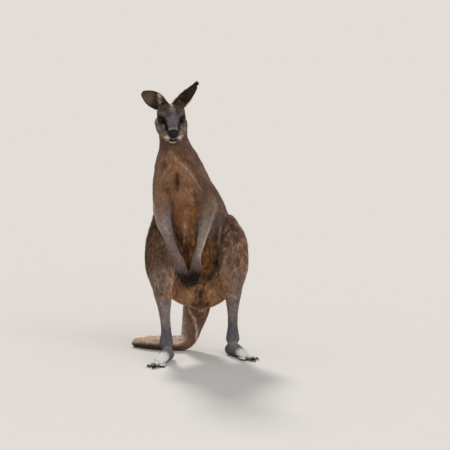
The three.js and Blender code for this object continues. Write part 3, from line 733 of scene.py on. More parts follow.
SKULL = Skull()
ARMS = (
    Arm("r", [[-160, -25, 990, 58, 54], [-176, -38, 925, 56, 58], [-188, -55, 850, 45, 52],
              [-186, -66, 775, 42, 44]],
        [[-186, -66, 782, 42, 42], [-176, -96, 720, 40, 41], [-158, -122, 672, 33, 35],
         [-137, -146, 612, 22, 27], [-108, -172, 555, 19, 20], [-90, -184, 525, 22, 19]],
        (-90, -184, 525), (-76, -213, 460), (0.46, -0.16, -1)),
    Arm("l", [[-22, -25, 990, 58, 54], [12, -40, 925, 54, 58], [44, -56, 855, 46, 52],
              [56, -68, 795, 42, 44]],
        [[58, -66, 800, 40, 42], [48, -92, 730, 37, 40], [27, -132, 635, 24, 28],
         [8, -158, 565, 20, 21], [-2, -168, 530, 22, 19]],
        (-2, -168, 530), (-5, -174, 468), (-0.30, -0.03, -1)),
)
LEGS = (
    Leg("r", (-180, -235), (-160, -180), (-141, -154), (-219, -500), 90, (-170, 706, 68)),
    Leg("l", (188, -140), (188, 6), (166, 30), (299, -256), 81, (156, 664, 62)),
)


# ------------------------------------------------------------------ making meshes


@dataclass(frozen=True)
class Place:
    """Where the animal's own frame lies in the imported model, in metres."""

    shift: Array

    @staticmethod
    def from_frame() -> "Place":
        """Reads the shift off the two eyeballs, whose middles are known in both frames.

        Returns:
            The place.
        """
        shifts = []
        for name, sign in (("eye_r", -1), ("eye_l", 1)):
            low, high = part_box(name)
            side, forward, up = SKULL.eye_place
            own = HEAD.world(vec(side * sign, forward, up)) * MM
            shifts.append((np.array(low) + np.array(high)) / 2 - own)
        return Place(np.mean(shifts, axis=0))

    def metres(self, points: Array) -> Array:
        """Points of the animal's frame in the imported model's metres."""
        return np.asarray(points) * MM + self.shift


PLACE = Place.from_frame()


def make_piece(name: str, points: Array, faces: Array | list[Array], material: bpy.types.Material, slot: str,
               colours: Array | None = None, corner_uv: Array | None = None,
               stands_for: tuple[str, ...] = ()) -> bpy.types.Object:
    """Makes one smooth piece of the model and tells the frame about it.

    Args:
        name: the piece's name.
        points: its vertices in the animal's frame, in mm.
        faces: vertex numbers, three or four a row, or a list of such arrays.
        material: its finish.
        slot: the record's material slot; not used.
        colours: red, green and blue at each vertex, kept as the attribute "marking".
        corner_uv: a place on the unwrap for each face corner, kept as the map "OFBake".
        stands_for: the nodes of the frame that the piece replaces.

    Returns:
        The new object.
    """
    groups = faces if isinstance(faces, list) else [faces]
    corners = np.concatenate([group.ravel() for group in groups])
    sizes = np.concatenate([np.full(len(group), group.shape[1]) for group in groups])
    mesh = bpy.data.meshes.new(name)
    mesh.vertices.add(len(points))
    mesh.vertices.foreach_set("co", PLACE.metres(points).astype(np.float32).ravel())
    mesh.loops.add(len(corners))
    mesh.loops.foreach_set("vertex_index", corners.astype(np.int32))
    mesh.polygons.add(len(sizes))
    mesh.polygons.foreach_set("loop_start", (np.cumsum(sizes) - sizes).astype(np.int32))
    mesh.update(calc_edges=True)
    mesh.polygons.foreach_set("use_smooth", np.ones(len(sizes), dtype=bool))
    if colours is not None:
        layer = mesh.attributes.new("marking", "FLOAT_COLOR", "POINT")
        full = np.concatenate([np.clip(colours, 0, 1), np.ones((len(colours), 1))], axis=1)
        layer.data.foreach_set("color", full.astype(np.float32).ravel())
    if corner_uv is not None:
        layer = mesh.uv_layers.new(name="OFBake", do_init=False)
        layer.uv.foreach_set("vector", corner_uv.astype(np.float32).ravel())
    mesh.materials.append(material)
    piece = bpy.data.objects.new(name, mesh)
    bpy.context.scene.collection.objects.link(piece)
    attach(piece, "root")
    if stands_for:
        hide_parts(*stands_for)
    LOG.info("%s: %d vertices, %d faces", name, len(points), len(sizes))
    return piece


def tube_faces(rings: int, sides: int) -> list[Array]:
    """Faces of a tube of rings with a point at either end, its axis along the rings' order.

    Vertices are the rings in order, then the first and the last point.

    Args:
        rings: how many rings.
        sides: how many vertices in each.

    Returns:
        The four-sided and the three-sided faces.
    """
    i, j = np.meshgrid(np.arange(rings - 1), np.arange(sides), indexing="ij")
    a = (i * sides + j).ravel()
    b = (i * sides + (j + 1) % sides).ravel()
    quads = np.stack([a, b, b + sides, a + sides], axis=1)
    around = np.arange(sides)
    ahead = (around + 1) % sides
    first, last = rings * sides, rings * sides + 1
    start = np.stack([np.full(sides, first), ahead, around], axis=1)
    base = (rings - 1) * sides
    end = np.stack([np.full(sides, last), base + around, base + ahead], axis=1)
    return [quads, np.concatenate([start, end])]


@dataclass(frozen=True)
class Claw:
    """A claw: a round profile carried along a bend, tapering to a point."""

    root: Array
    way: Array
    down: Array
    length: float
    radius: float
    bend: float                     # degrees
    rings: int = 12
    sides: int = 12
    narrow: float = 0.8             # width as a share of height

    def mesh(self) -> tuple[Array, list[Array]]:
        """Vertices and faces.

        At the share t of its length the claw has run length * t * cos(bend t^2 / 2) along its
        way and length * t * sin(0.8 bend t^2) down, and its radius is r (1 - t)^0.8 + 0.7; a
        ridge 8% high runs along the top.

        Returns:
            Vertices and faces.
        """
        t = np.linspace(0, 1, self.rings)[:, None]
        turn = math.radians(self.bend) * t * t
        centre = (self.root + self.way * self.length * t * np.cos(turn * 0.5)
                  + self.down * self.length * t * np.sin(turn * 0.8))
        radius = self.radius * (1 - t) ** 0.8 + 0.7
        sideways = unit(np.cross(self.way, self.down))
        along = unit(np.gradient(centre, axis=0))
        deep = np.cross(along, sideways)
        angle = whole_turn(self.sides)
        ridge = 1 + 0.08 * hill(angle, 1.5 * math.pi, 0.5)
        ring = (centre[:, None] + sideways * (np.cos(angle)[None, :, None] * radius[:, None] * self.narrow)
                + deep[:, None] * (np.sin(angle) * ridge)[None, :, None] * radius[:, None])
        points = np.concatenate([ring.reshape(-1, 3), centre[:1] - self.way * 0.3,
                                 centre[-1:] + along[-1] * 0.7])
        return points, tube_faces(self.rings, self.sides)


def joined(meshes: list[tuple[Array, list[Array]]]) -> tuple[Array, list[Array]]:
    """Several meshes as one, each with its faces renumbered.

    Args:
        meshes: vertices and faces of each.

    Returns:
        Vertices and faces of the whole.
    """
    points, faces, start = [], [], 0
    for own, groups in meshes:
        points.append(own)
        faces.extend(group + start for group in groups)
        start += len(own)
    return np.concatenate(points), faces


def all_cells(counts: Array | list[int]) -> Array:
    """The coordinates of every cell of a lattice, given its cells along each axis."""
    return np.stack(np.meshgrid(*[np.arange(n) for n in counts], indexing="ij"), -1).reshape(-1, 3)


def numbered(cells: Array, dims: Array) -> Array:
    """One number for each cell of a lattice with that many places along each axis."""
    return (cells[:, 0] * dims[1] + cells[:, 1]) * dims[2] + cells[:, 2]


CORNERS = np.array(list(np.ndindex(2, 2, 2)))
CELL_EDGES = [(i, j) for i in range(8) for j in range(i + 1, 8)
              if np.abs(CORNERS[i] - CORNERS[j]).sum() == 1]


@dataclass(frozen=True)
class Net:
    """Meshes a field with surface nets on a sparse lattice.

    A branching body has no single grid of two parameters, so its skin is the level surface of
    the field: one vertex in each cell that the surface crosses, at the mean of the crossings
    on the cell's edges, and one face round each lattice edge that it crosses.
    """

    flesh: Flesh
    low: Triple
    high: Triple
    cell: float
    block: int = 8                  # cells along a block's side
    reach: float = 1.45             # how near a block's middle lies to the surface, in sides
    batch: int = 200000             # places worked out at once

    def lattice(self) -> tuple[Array, Array, Array]:
        """Blocks near the surface: their first cells, the values in them, and the counts.

        Returns:
            First cell of each block, the field's values in each, and the number of blocks along
            each axis.
        """
        low = vec(*self.low)
        size = self.cell * self.block
        count = np.ceil((vec(*self.high) - low) / size).astype(int)
        blocks = all_cells(count)
        middle = self.flesh.value(low + (blocks + 0.5) * size)
        blocks = blocks[np.abs(middle) < size * self.reach]
        side = self.block + 1
        inner = all_cells([side] * 3)
        dims = count * self.block + 1
        spots = (blocks[:, None] * self.block + inner).reshape(-1, 3)
        unique, back = np.unique(numbered(spots, dims), return_inverse=True)
        grid = np.stack([unique // (dims[1] * dims[2]), unique // dims[2] % dims[1], unique % dims[2]], 1)
        value = np.concatenate([self.flesh.value(low + part * self.cell)
                                for part in np.array_split(grid, len(grid) // self.batch + 1)])
        value = np.where(value == 0, 1e-6, value)
        return blocks * self.block, value[back].reshape(len(blocks), side, side, side), dims

    def mesh(self) -> tuple[Array, Array]:
        """Vertices and four-sided faces of the level surface.

        Returns:
            Vertices and faces.
        """
        first, values, dims = self.lattice()
        n = self.block
        corner = [values[:, a:a + n, b:b + n, c:c + n] for a, b, c in CORNERS]
        inside = sum((v < 0).astype(int) for v in corner)
        at = np.argwhere((inside > 0) & (inside < 8))
        cells = first[at[:, 0]] + at[:, 1:]
        value = np.stack([v[tuple(at.T)] for v in corner], axis=1)
        total = np.zeros((len(at), 3))
        count = np.zeros(len(at))
        for i, j in CELL_EDGES:
            cross = (value[:, i] < 0) != (value[:, j] < 0)
            t = np.where(cross, value[:, i] / np.where(cross, value[:, i] - value[:, j], 1), 0)
            total += np.where(cross[:, None], CORNERS[i] + t[:, None] * (CORNERS[j] - CORNERS[i]), 0)
            count += cross
        points = vec(*self.low) + (cells + total / count[:, None]) * self.cell
        key = numbered(cells, dims)
        order = np.argsort(key)
        ranked = key[order]

        def vertex_of(at_cells: Array) -> tuple[Array, Array]:
            """Vertex of each cell, and whether it has one.

            Args:
                at_cells: cells, one row each.

            Returns:
                Vertex numbers, and a mask that is true where a cell has one.
            """
            wanted = numbered(at_cells, dims)
            spot = np.clip(np.searchsorted(ranked, wanted), 0, len(ranked) - 1)
            return order[spot], ranked[spot] == wanted

        faces = []
        for axis in range(3):
            ahead = np.eye(3, dtype=int)[axis]
            other = int(np.flatnonzero((CORNERS == ahead).all(1))[0])
            cross = (value[:, 0] < 0) != (value[:, other] < 0)
            here = cells[cross]
            u, v = np.eye(3, dtype=int)[(axis + 1) % 3], np.eye(3, dtype=int)[(axis + 2) % 3]
            ring = [vertex_of(here - step) for step in (0 * u, u, u + v, v)]
            whole = np.all([ok for _, ok in ring], axis=0)
            quad = np.stack([number for number, _ in ring], axis=1)
            quad = np.where((value[cross, 0] < 0)[:, None], quad, quad[:, ::-1])
            faces.append(quad[whole])
        return points, np.concatenate(faces)


def in_triangles(points: Array, quads: Array) -> Array:
    """Four-sided faces cut along their shorter diagonal.

    Args:
        points: vertices.
        quads: four vertex numbers to each face.

    Returns:
        Three vertex numbers to each face.
    """
    a, b, c, d = quads.T
    short = (np.linalg.norm(points[a] - points[c], axis=1) <= np.linalg.norm(points[b] - points[d], axis=1))
    one = np.where(short[:, None], np.stack([a, b, c], 1), np.stack([a, b, d], 1))
    two = np.where(short[:, None], np.stack([a, c, d], 1), np.stack([b, c, d], 1))
    return np.concatenate([one, two])


def refined(points: Array, triangles: Array, chosen: Array) -> tuple[Array, Array]:
    """Cuts the chosen triangles in four, and their neighbours so that no gap opens.

    Each edge of a chosen triangle gets a vertex at its middle. A triangle with three such
    edges becomes four, with two becomes three, with one becomes two.

    Args:
        points: the vertices.
        triangles: vertex numbers, three a row.
        chosen: which triangles are cut.

    Returns:
        The new vertices and triangles.
    """
    edges = np.sort(triangles[:, [[0, 1], [1, 2], [2, 0]]], axis=2).reshape(-1, 2)
    unique, back = np.unique(edges[:, 0] * len(points) + edges[:, 1], return_inverse=True)
    back = back.reshape(-1, 3)
    cut = np.zeros(len(unique), dtype=bool)
    cut[back[chosen]] = True
    number = np.cumsum(cut) - 1 + len(points)
    middle = (points[unique // len(points)] + points[unique % len(points)])[cut] / 2
    has, mids = cut[back], number[back]
    total = has.sum(1)
    first_cut = np.argmax(has, axis=1)
    first_whole = np.argmin(has, axis=1)
    turn = np.where(total == 1, first_cut, np.where(total == 2, (first_whole + 1) % 3, 0))
    rolled = (turn[:, None] + np.arange(3)) % 3
    a, b, c = np.take_along_axis(triangles, rolled, 1).T
    ab, bc, ca = np.take_along_axis(mids, rolled, 1).T
    one, two, three = total == 1, total == 2, total == 3

    def rows(mask: Array, *corners: Array) -> Array:
        """The triangles of three corner lists where the mask holds."""
        return np.stack([corner[mask] for corner in corners], axis=1)

    out = [triangles[total == 0], rows(one, a, ab, c), rows(one, ab, b, c),
           rows(two, ab, b, bc), rows(two, a, ab, bc), rows(two, a, bc, c),
           rows(three, a, ab, ca), rows(three, ab, b, bc), rows(three, ca, bc, c), rows(three, ab, bc, ca)]
    return np.concatenate([points, middle]), np.concatenate(out)


# ------------------------------------------------------------------ unwrap


@dataclass(frozen=True)
class Sleeve:
    """One chart of the unwrap: a limb's axis, rolled out on a rectangle of the map.

    v runs along the axis and u round it, from the seam at the given side.
    """

    axis: tuple
    radius: float
    seam: Triple
    corner: tuple[float, float]
    size: tuple[float, float]
    filled: float = 0.94            # share of the rectangle inside its margins
    margin: float = 0.03

    def along(self, points: Array) -> tuple[Array, Array, Array, Array]:
        """Distance from the axis, share along it, and the nearest axis point and direction."""
        return from_line(points, self.axis)

    def angle(self, points: Array) -> tuple[Array, Array]:
        """Share along the axis and angle round it, from -pi to pi, away from the seam.

        Args:
            points: places in the body's frame.

        Returns:
            The shares and the angles.
        """
        _, share, spot, way = self.along(points)
        seam = unit(np.array(self.seam) - way * (way @ np.array(self.seam))[:, None])
        other = np.cross(way, seam)
        q = points - spot
        return share, np.arctan2(-dot(q, other), -dot(q, seam))

    def place(self, share: Array, angle: Array) -> Array:
        """The place on the map for a share and an angle.

        Args:
            share: share along the axis.
            angle: angle round it.

        Returns:
            Two coordinates for each.
        """
        u = self.corner[0] + self.size[0] * (0.5 + angle / (2 * math.pi) * self.filled)
        v = self.corner[1] + self.size[1] * (self.margin + self.filled * share)
        return np.stack([u, v], axis=-1)


SLEEVES = (
    Sleeve(((10, 60, 330), (4, 60, 600), (-60, 5, 880), (-105, -25, 1030), (-122, -55, 1160)), 130,
           (0, 1, 0), (0, 0), (0.46, 0.52)),
    Sleeve(((-130, -40, 1255), (-118, -225, 1215)), 60, (0, 0, -1), (0, 0.52), (0.28, 0.24)),
    Sleeve(((6, 150, 430), (0, 190, 300), (-30, 180, 130), (-84, 162, 45), (-342, 208, 26)), 55,
           (0, -1, 0.4), (0, 0.76), (0.5, 0.24)),
    Sleeve(((-150, 40, 660), (-180, -110, 500), (-178, -190, 400), (-152, -115, 100)), 70,
           (0, 1, 0), (0.46, 0), (0.27, 0.52)),
    Sleeve(((156, 40, 660), (186, -70, 500), (188, -125, 400), (188, 8, 100)), 70,
           (0, 1, 0), (0.73, 0), (0.27, 0.52)),
    Sleeve(((-150, -70, 32), (-204, -416, 16)), 32, (0, 0, -1), (0.28, 0.52), (0.11, 0.24)),
    Sleeve(((160, 40, 32), (299, -256, 16)), 32, (0, 0, -1), (0.39, 0.52), (0.11, 0.24)),
    Sleeve(((-176, -38, 960), (-187, -62, 780), (-133, -143, 625), (-90, -184, 525), (-50, -205, 400)), 36,
           (1, 0.3, 0), (0.5, 0.52), (0.25, 0.48)),
    Sleeve(((12, -40, 960), (57, -68, 795), (29, -132, 635), (7, -168, 530), (-15, -175, 405)), 36,
           (-1, 0.3, 0), (0.75, 0.52), (0.25, 0.48)),
)


def chart_of(points: Array) -> Array:
    """The number of the sleeve that each point is nearest to, for the sleeve's radius."""
    return np.stack([sleeve.along(points)[0] / sleeve.radius for sleeve in SLEEVES], axis=1).argmin(1)


def unwrapped(points: Array, triangles: Array) -> Array:
    """A place on the map for each corner of each triangle.

    A triangle lies whole on the chart of its middle, and the angles of its corners are taken
    within half a turn of the middle's, so that none is torn at the seam.

    Args:
        points: vertices.
        triangles: three vertex numbers to each face.

    Returns:
        Two coordinates for each corner, in the faces' order.
    """
    middle = points[triangles].mean(1)
    chart = chart_of(middle)
    out = np.zeros((len(triangles), 3, 2))
    for number, sleeve in enumerate(SLEEVES):
        rows = np.flatnonzero(chart == number)
        if not len(rows):
            continue
        _, centre = sleeve.angle(middle[rows])
        share, angle = sleeve.angle(points[triangles[rows]].reshape(-1, 3))
        base = np.repeat(centre, 3)
        angle = base + (angle - base + math.pi) % (2 * math.pi) - math.pi
        out[rows] = sleeve.place(share, angle).reshape(-1, 3, 2)
    return out.reshape(-1, 2)


def roots_on_map(points: Array) -> Array:
    """A place on the map for single points.

    Args:
        points: places on the skin.

    Returns:
        Two coordinates for each.
    """
    chart = chart_of(points)
    out = np.zeros((len(points), 2))
    for number, sleeve in enumerate(SLEEVES):
        rows = chart == number
        if rows.any():
            out[rows] = sleeve.place(*sleeve.angle(points[rows]))
    return out


# ------------------------------------------------------------------ markings


def from_line(points: Array, knots: list | tuple) -> tuple[Array, Array, Array, Array]:
    """Where points lie beside a line of straight stretches, in two or three dimensions.

    Args:
        points: the places, one a row.
        knots: the line's corners.

    Returns:
        The distance from the line, the share of its length, and the nearest spot on it with
        the direction there.
    """
    knots = np.array(knots, dtype=float)
    line = np.diff(knots, axis=0)
    run = np.concatenate([[0], np.cumsum(np.linalg.norm(line, axis=1))])
    t = np.stack([np.clip((points - k) @ s / (s @ s), 0, 1) for k, s in zip(knots[:-1], line)], 1)
    spots = knots[:-1] + t[..., None] * line
    far = np.linalg.norm(points[:, None] - spots, axis=2)
    best = far.argmin(1)
    row = np.arange(len(points))
    share = (run[best] + t[row, best] * (run[best + 1] - run[best])) / run[-1]
    return far[row, best], share, spots[row, best], unit(line)[best]


@dataclass(frozen=True)
class Fold:
    """A line on the front of the body, from corner to corner across and up, in mm."""

    corners: tuple
    width: float
    strength: float

    def at(self, points: Array) -> Array:
        """Its strength at each place: a bell of its width, faded out towards both ends.

        Args:
            points: places in the body's frame.

        Returns:
            A strength from 0 to 1 for each.
        """
        far, share, _, _ = from_line(points[:, [0, 2]], self.corners)
        ends = smooth(share, -0.02, 0.12) * smooth(share, 1.02, 0.85)
        return self.strength * hill(far, 0, self.width) * ends


@dataclass(frozen=True)
class Markings:
    """The animal's colours, some of them painted light and shade, as red, green and blue that the hair
    reflects.

    They are worked out from the part of the body, the way that the surface faces, and
    distances from a few landmarks, so skin and coat agree everywhere.
    """

    back: Triple = (0.235, 0.158, 0.135)
    breast: Triple = (0.46, 0.245, 0.14)
    throat: Triple = (0.27, 0.145, 0.085)
    belly: Triple = (0.38, 0.17, 0.065)
    groin: Triple = (0.60, 0.33, 0.18)
    haunch: Triple = (0.35, 0.205, 0.14)
    # dark shaggy hair; also the colour of painted shade in creases, folds and on the right haunch
    dark_hair_and_shade: Triple = (0.07, 0.034, 0.018)
    arm: Triple = (0.36, 0.225, 0.17)
    forearm: Triple = (0.43, 0.33, 0.29)
    wrist: Triple = (0.175, 0.12, 0.095)
    shin: Triple = (0.40, 0.32, 0.295)
    ankle: Triple = (0.20, 0.185, 0.215)
    # near white: pale feet, painted whiter as sunlit on top
    foot: Triple = (0.95, 0.92, 0.88)
    black: Triple = (0.02, 0.014, 0.011)
    tail: Triple = (0.32, 0.19, 0.13)
    # a pale line down the tail's front; also painted sunlight on top of the tail along the floor
    tail_ridge: Triple = (0.92, 0.72, 0.58)
    face: Triple = (0.235, 0.165, 0.13)
    slate: Triple = (0.24, 0.20, 0.225)
    pale: Triple = (0.78, 0.62, 0.52)
    chin: Triple = (1.0, 0.68, 0.44)
    crown: Triple = (0.12, 0.075, 0.048)
    # dark hair round the eyes with painted shade of the deep sockets; also painted shade down the sides of
    # the bridge
    eye_patch: Triple = (0.010, 0.0065, 0.005)
    pale_folds: tuple[Fold, ...] = (
        Fold(((-150, 1095), (-130, 1069), (-99, 1040)), 3.5, 0.5),
        Fold(((-104, 1044), (-73, 1022), (-52, 1001), (-36, 975), (-16, 944), (10, 908), (31, 871)),
             3.2, 1.0),
        Fold(((-136, 1026), (-156, 1000), (-167, 980), (-182, 938), (-190, 886)), 5, 0.8),
        Fold(((-140, 1104), (-120, 1074), (-104, 1042)), 5, 0.6),
        Fold(((-60, 790), (-66, 700), (-52, 640)), 14, 0.3),
        Fold(((188, 400), (196, 360), (190, 300)), 12, 0.4),
    )
    # dark lines: mostly painted shade in the creases and folds of breast and neck, beside the limbs, and the
    # hands' shadow on the belly; round the purse partly dark hair
    dark_folds: tuple[Fold, ...] = (
        Fold(((-101, 985), (-99, 926), (-99, 880)), 9, 1.0),
        Fold(((-104, 990), (-102, 930), (-98, 880)), 24, 0.3),
        Fold(((-92, 1068), (-62, 1046), (-34, 1014), (-8, 966), (20, 924)), 18, 0.6),
        Fold(((-172, 1042), (-166, 1010), (-172, 985)), 18, 0.65),
        Fold(((-152, 905), (-146, 862), (-136, 824), (-122, 790)), 10, 0.95),
        Fold(((-20, 886), (-6, 840), (-5, 795)), 10, 0.85),
        Fold(((-132, 700), (-124, 650), (-116, 600)), 12, 0.5),
        Fold(((-84, 640), (-60, 590), (-34, 560)), 14, 0.7),
        Fold(((140, 610), (138, 560), (130, 470), (130, 410)), 11, 0.7),
        Fold(((-132, 520), (-120, 440), (-108, 380)), 13, 0.6),
        Fold(((-54, 520), (-46, 450), (-44, 400), (-44, 358)), 34, 1.0),
        Fold(((16, 362), (20, 310), (22, 262)), 21, 1.0),
        Fold(((-34, 288), (18, 276), (70, 292)), 18, 1.0),
        Fold(((-12, 392), (-8, 300)), 7, 1.0),
        Fold(((36, 392), (42, 300)), 7, 1.0),
        Fold(((14, 226), (30, 196)), 14, 0.9),
    )

    def paint(self, points: Array, normals: Array, shares: Array) -> Array:
        """Colours of places on the skin.

        Args:
            points: the places, in mm.
            normals: the way the skin faces there.
            shares: how much each place belongs to each Part.

        Returns:
            One colour a row.
        """
        base = np.zeros((len(Part), 3))
        for part, colour in ((Part.FACE, self.face), (Part.NECK, self.back), (Part.TRUNK, self.back),
                             (Part.BELLY, self.groin), (Part.HAUNCH, self.haunch), (Part.ARM, self.arm),
                             (Part.FOREARM, self.forearm), (Part.HAND, self.forearm), (Part.SHIN, self.shin),
                             (Part.FOOT, self.foot), (Part.TAIL, self.tail)):
            base[part.value] = colour
        colour = shares @ base
        colour = self._body(points, normals, shares, colour)
        colour = self._limbs(points, normals, shares, colour)
        colour = self._head(points, shares, colour)
        mottle = 0.16 * cloud(points, 24, 1) + 0.20 * cloud(points, 11, 2) + 0.12 * cloud(points, 5, 3)
        mottle = mottle * (1 - 0.6 * self.sleek(points, shares))
        warmth = 0.05 * cloud(points, 60, 4)[:, None] * vec(1, 0, -1)
        return np.clip(colour * (1 + mottle[:, None] + warmth), 0.004, 1)

    @staticmethod
    def sleek(points: Array, shares: Array) -> Array:
        """1 where the hair lies short and even: neck, shoulders, arms, shins, feet and groin.

        Args:
            points: places in the body's frame.
            shares: the parts they belong to.

        Returns:
            A number from 0 to 1 for each.
        """
        even = (Part.NECK, Part.ARM, Part.FOREARM, Part.HAND, Part.SHIN, Part.FOOT, Part.BELLY, Part.TAIL)
        upper = share_of(shares, Part.TRUNK) * smooth(points[:, 2], 620, 780)
        return np.clip(share_of(shares, *even) + upper, 0, 1)

    def _body(self, p: Array, n: Array, shares: Array, colour: Array) -> Array:
        """Breast shield, throat, belly and groin, pale folds, shaggy locks, and painted shade in creases and
        folds.

        Args:
            p: places.
            n: directions out of the body there.
            shares: the parts they belong to.
            colour: the colour so far.

        Returns:
            The colour with these markings.
        """
        x, y, z = p.T
        middle = np.interp(z, [300, 490, 700, 880, 1025, 1200], [20, 12, -2, -54, -104, -126])
        from_middle = x - middle
        front = smooth(-n[:, 1], -0.1, 0.75)
        core = share_of(shares, Part.TRUNK, Part.NECK, Part.BELLY)
        shield = front * smooth(np.abs(from_middle) * np.where(from_middle < 0, 0.75, 1), 105, 60) * core
        colour = blend(colour, self.breast, shield * smooth(z, 760, 860) * smooth(z, 1110, 1040))
        colour = blend(colour, self.throat, shield * hill(from_middle, 0, 48) * smooth(z, 1040, 1100))
        colour = blend(colour, self.belly, shield * smooth(z, 860, 780) * smooth(z, 400, 470))
        low = smooth(z, 470, 380) * smooth(z, 195, 215) * (1 - share_of(shares, Part.TAIL))
        low *= smooth(np.abs(x - 10), 190, 120) * core * smooth(y, 120, 60)
        colour = blend(colour, self.groin, low)
        soft = 0.55 + 0.45 * smooth(cloud(p, 12, 6), -0.5, 0.4)
        for fold in self.pale_folds:
            colour = blend(colour, self.pale, fold.at(p) * front * soft)
        limbs = share_of(shares, Part.ARM, Part.FOREARM, Part.HAND, Part.HAUNCH)
        # painted shade where the limbs meet the body
        limb_gap_shade = 4 * core * limbs * smooth(z, 330, 400) * smooth(z, 980, 900)
        colour = blend(colour, self.dark_hair_and_shade, np.clip(0.55 * limb_gap_shade, 0, 1))
        # painted shade along the dark folds, on the front of the body
        for fold in self.dark_folds:
            facing = smooth(-n[:, 1], -0.5, 0.2)
            colour = blend(colour, self.dark_hair_and_shade, fold.at(p) * facing * soft * (core + 0.4 * (1 - core)))
        flank = share_of(shares, Part.NECK, Part.TRUNK) * smooth(from_middle, 25, 75)
        colour = blend(colour, self.dark_hair_and_shade, 0.12 * flank * smooth(z, 960, 1030) * smooth(z, 1180, 1100))
        streak = cloud(p * vec(1, 1, 0.3), 17, 5) + 0.5 * cloud(p * vec(1, 1, 0.4), 8, 7)
        behind = smooth(y, -40, 90)
        rump = core * behind * smooth(np.abs(from_middle), 30, 90)
        rump *= smooth(z, 400, 500) * smooth(z, 800, 640)
        colour = blend(colour, self.haunch, 0.8 * rump)
        top = smooth(z, 765, 715) * (1 - behind * smooth(z, 600, 760))
        hips = (smooth(z, 540, 640) * top * share_of(shares, Part.HAUNCH) + 0.8 * rump
                + core * smooth(np.abs(from_middle), 60, 110) * smooth(z, 430, 520) * smooth(z, 730, 660)
                + 0.7 * core * smooth(z, 480, 540) * smooth(z, 700, 620))
        hips = np.clip(hips, 0, 1)
        colour = blend(colour, self.dark_hair_and_shade, hips * smooth(streak, -0.3, 0.35) * 0.68)
        return blend(colour, self.groin, hips * smooth(streak, -0.35, -0.7) * 0.6)

    def _limbs(self, p: Array, n: Array, shares: Array, colour: Array) -> Array:
        """Hands and toes darken to black; the inner thigh is pale; the tail is painted sunlit on top and
        shaded below.

        Painted light and shade also fall on one side of the arms, on the right haunch and on the tops of the
        feet.

        Args:
            p: places.
            n: directions out of the body there.
            shares: the parts they belong to.
            colour: the colour so far.

        Returns:
            The colour with these markings.
        """
        x, y, z = p.T
        hand = share_of(shares, Part.HAND) + 0.6 * share_of(shares, Part.FOREARM)
        right = x < 0
        fore = np.clip(share_of(shares, Part.ARM, Part.FOREARM), 0, 1)
        # tan on the fronts of the upper arms; the right side takes the paler groin colour, painted light
        # against the shade there
        tan = hill(z, 890, 95) * smooth(-n[:, 1], 0.2, 0.8) * share_of(shares, Part.ARM)
        tan_hair = np.where(right[:, None], self.groin, self.breast)
        colour = blend(colour, tan_hair, np.where(right, 0.8, 0.45) * tan)
        # haunch-brown at the elbows; the right one is painted darker, as shade on that side
        elbow = fore * smooth(z, 715, 790) * smooth(z, 900, 840)
        colour = blend(colour, self.haunch, np.where(right, 0.85, 0.3) * elbow)
        # painted shade: the right haunch is darkened as the side turned from the light
        right_haunch_shade = share_of(shares, Part.HAUNCH) * np.where(x < -60, 1, 0) * smooth(z, 400, 520)
        colour = blend(colour, self.dark_hair_and_shade, 0.6 * right_haunch_shade)
        facing_in = smooth(n[:, 0] * np.where(x < -60, 1, -1), 0.1, 0.6)
        colour = blend(colour, self.ankle, 0.6 * share_of(shares, Part.FOREARM) * facing_in)
        # a little pale on the forearms; the left one's extra pale is painted light on that side
        colour = blend(colour, self.pale, np.where(right, 0.05, 0.15) * share_of(shares, Part.FOREARM))
        hand = np.clip(hand, 0, 1)
        colour = blend(colour, self.wrist, 0.9 * hand * smooth(z, np.where(right, 640, 575), 510))
        ragged = z + 16 * cloud(p * vec(1, 1, 0.5), 9, 8)
        colour = blend(colour, self.black, smooth(ragged, 505, 440) * hand * 0.97)
        outward = smooth(n[:, 0] * np.where(x < -60, -1, 1), 0.55, 0.95)
        colour = blend(colour, self.pale, 0.45 * fore * outward * smooth(z, 860, 780))
        foot = share_of(shares, Part.FOOT)
        toe_side = np.where(right, smooth(y, -452, -480), smooth(y, -222, -246))
        under = smooth(n[:, 2], 0.35, -0.2)
        dark = np.clip(toe_side + 0.8 * under * smooth(z, 26, 12), 0, 1)
        colour = blend(colour, self.black, foot * dark * 0.9)
        # the rear of the foot takes the ankle's slate; the front keeps the near-white foot colour, partly
        # painted sunlight
        instep = np.where(right, smooth(y, -262, -320), smooth(y, -92, -142))
        colour = blend(colour, self.ankle, foot * (1 - instep) * 0.9)
        shin = share_of(shares, Part.SHIN)
        colour = blend(colour, self.ankle, shin * smooth(z, 230, 130))
        back = smooth(n[:, 1], 0.0, 0.8) * shin
        colour = blend(colour, self.back, back * 0.6)
        inner = share_of(shares, Part.HAUNCH, Part.SHIN)
        inner *= smooth(z, 300, 360) * smooth(z, 520, 430)
        inward = smooth(n[:, 0] * np.where(right, 1, -1), 0.2, 0.8)
        colour = blend(colour, self.groin, 0.75 * inner * inward)
        tail = share_of(shares, Part.TAIL)
        ridge_line = np.interp(z, [34, 115, 170, 234], [-3, -5, -11, -48])
        ridge = hill(x, ridge_line, 6) * smooth(-n[:, 1], -0.1, 0.4) * smooth(z, 270, 220)
        colour = blend(colour, self.tail_ridge, 0.85 * tail * ridge * smooth(z, 20, 60))
        # the tail along the floor: painted sunlight on its top and painted shade under it
        along_floor = smooth(x, -40, -100) * tail
        grizzle = 0.75 + 0.25 * smooth(cloud(p, 10, 9), -0.5, 0.2)
        colour = blend(colour, self.tail_ridge, along_floor * grizzle * smooth(n[:, 2], -0.3, 0.2))
        return blend(colour, self.black, 0.6 * along_floor * smooth(n[:, 2], -0.1, -0.55))

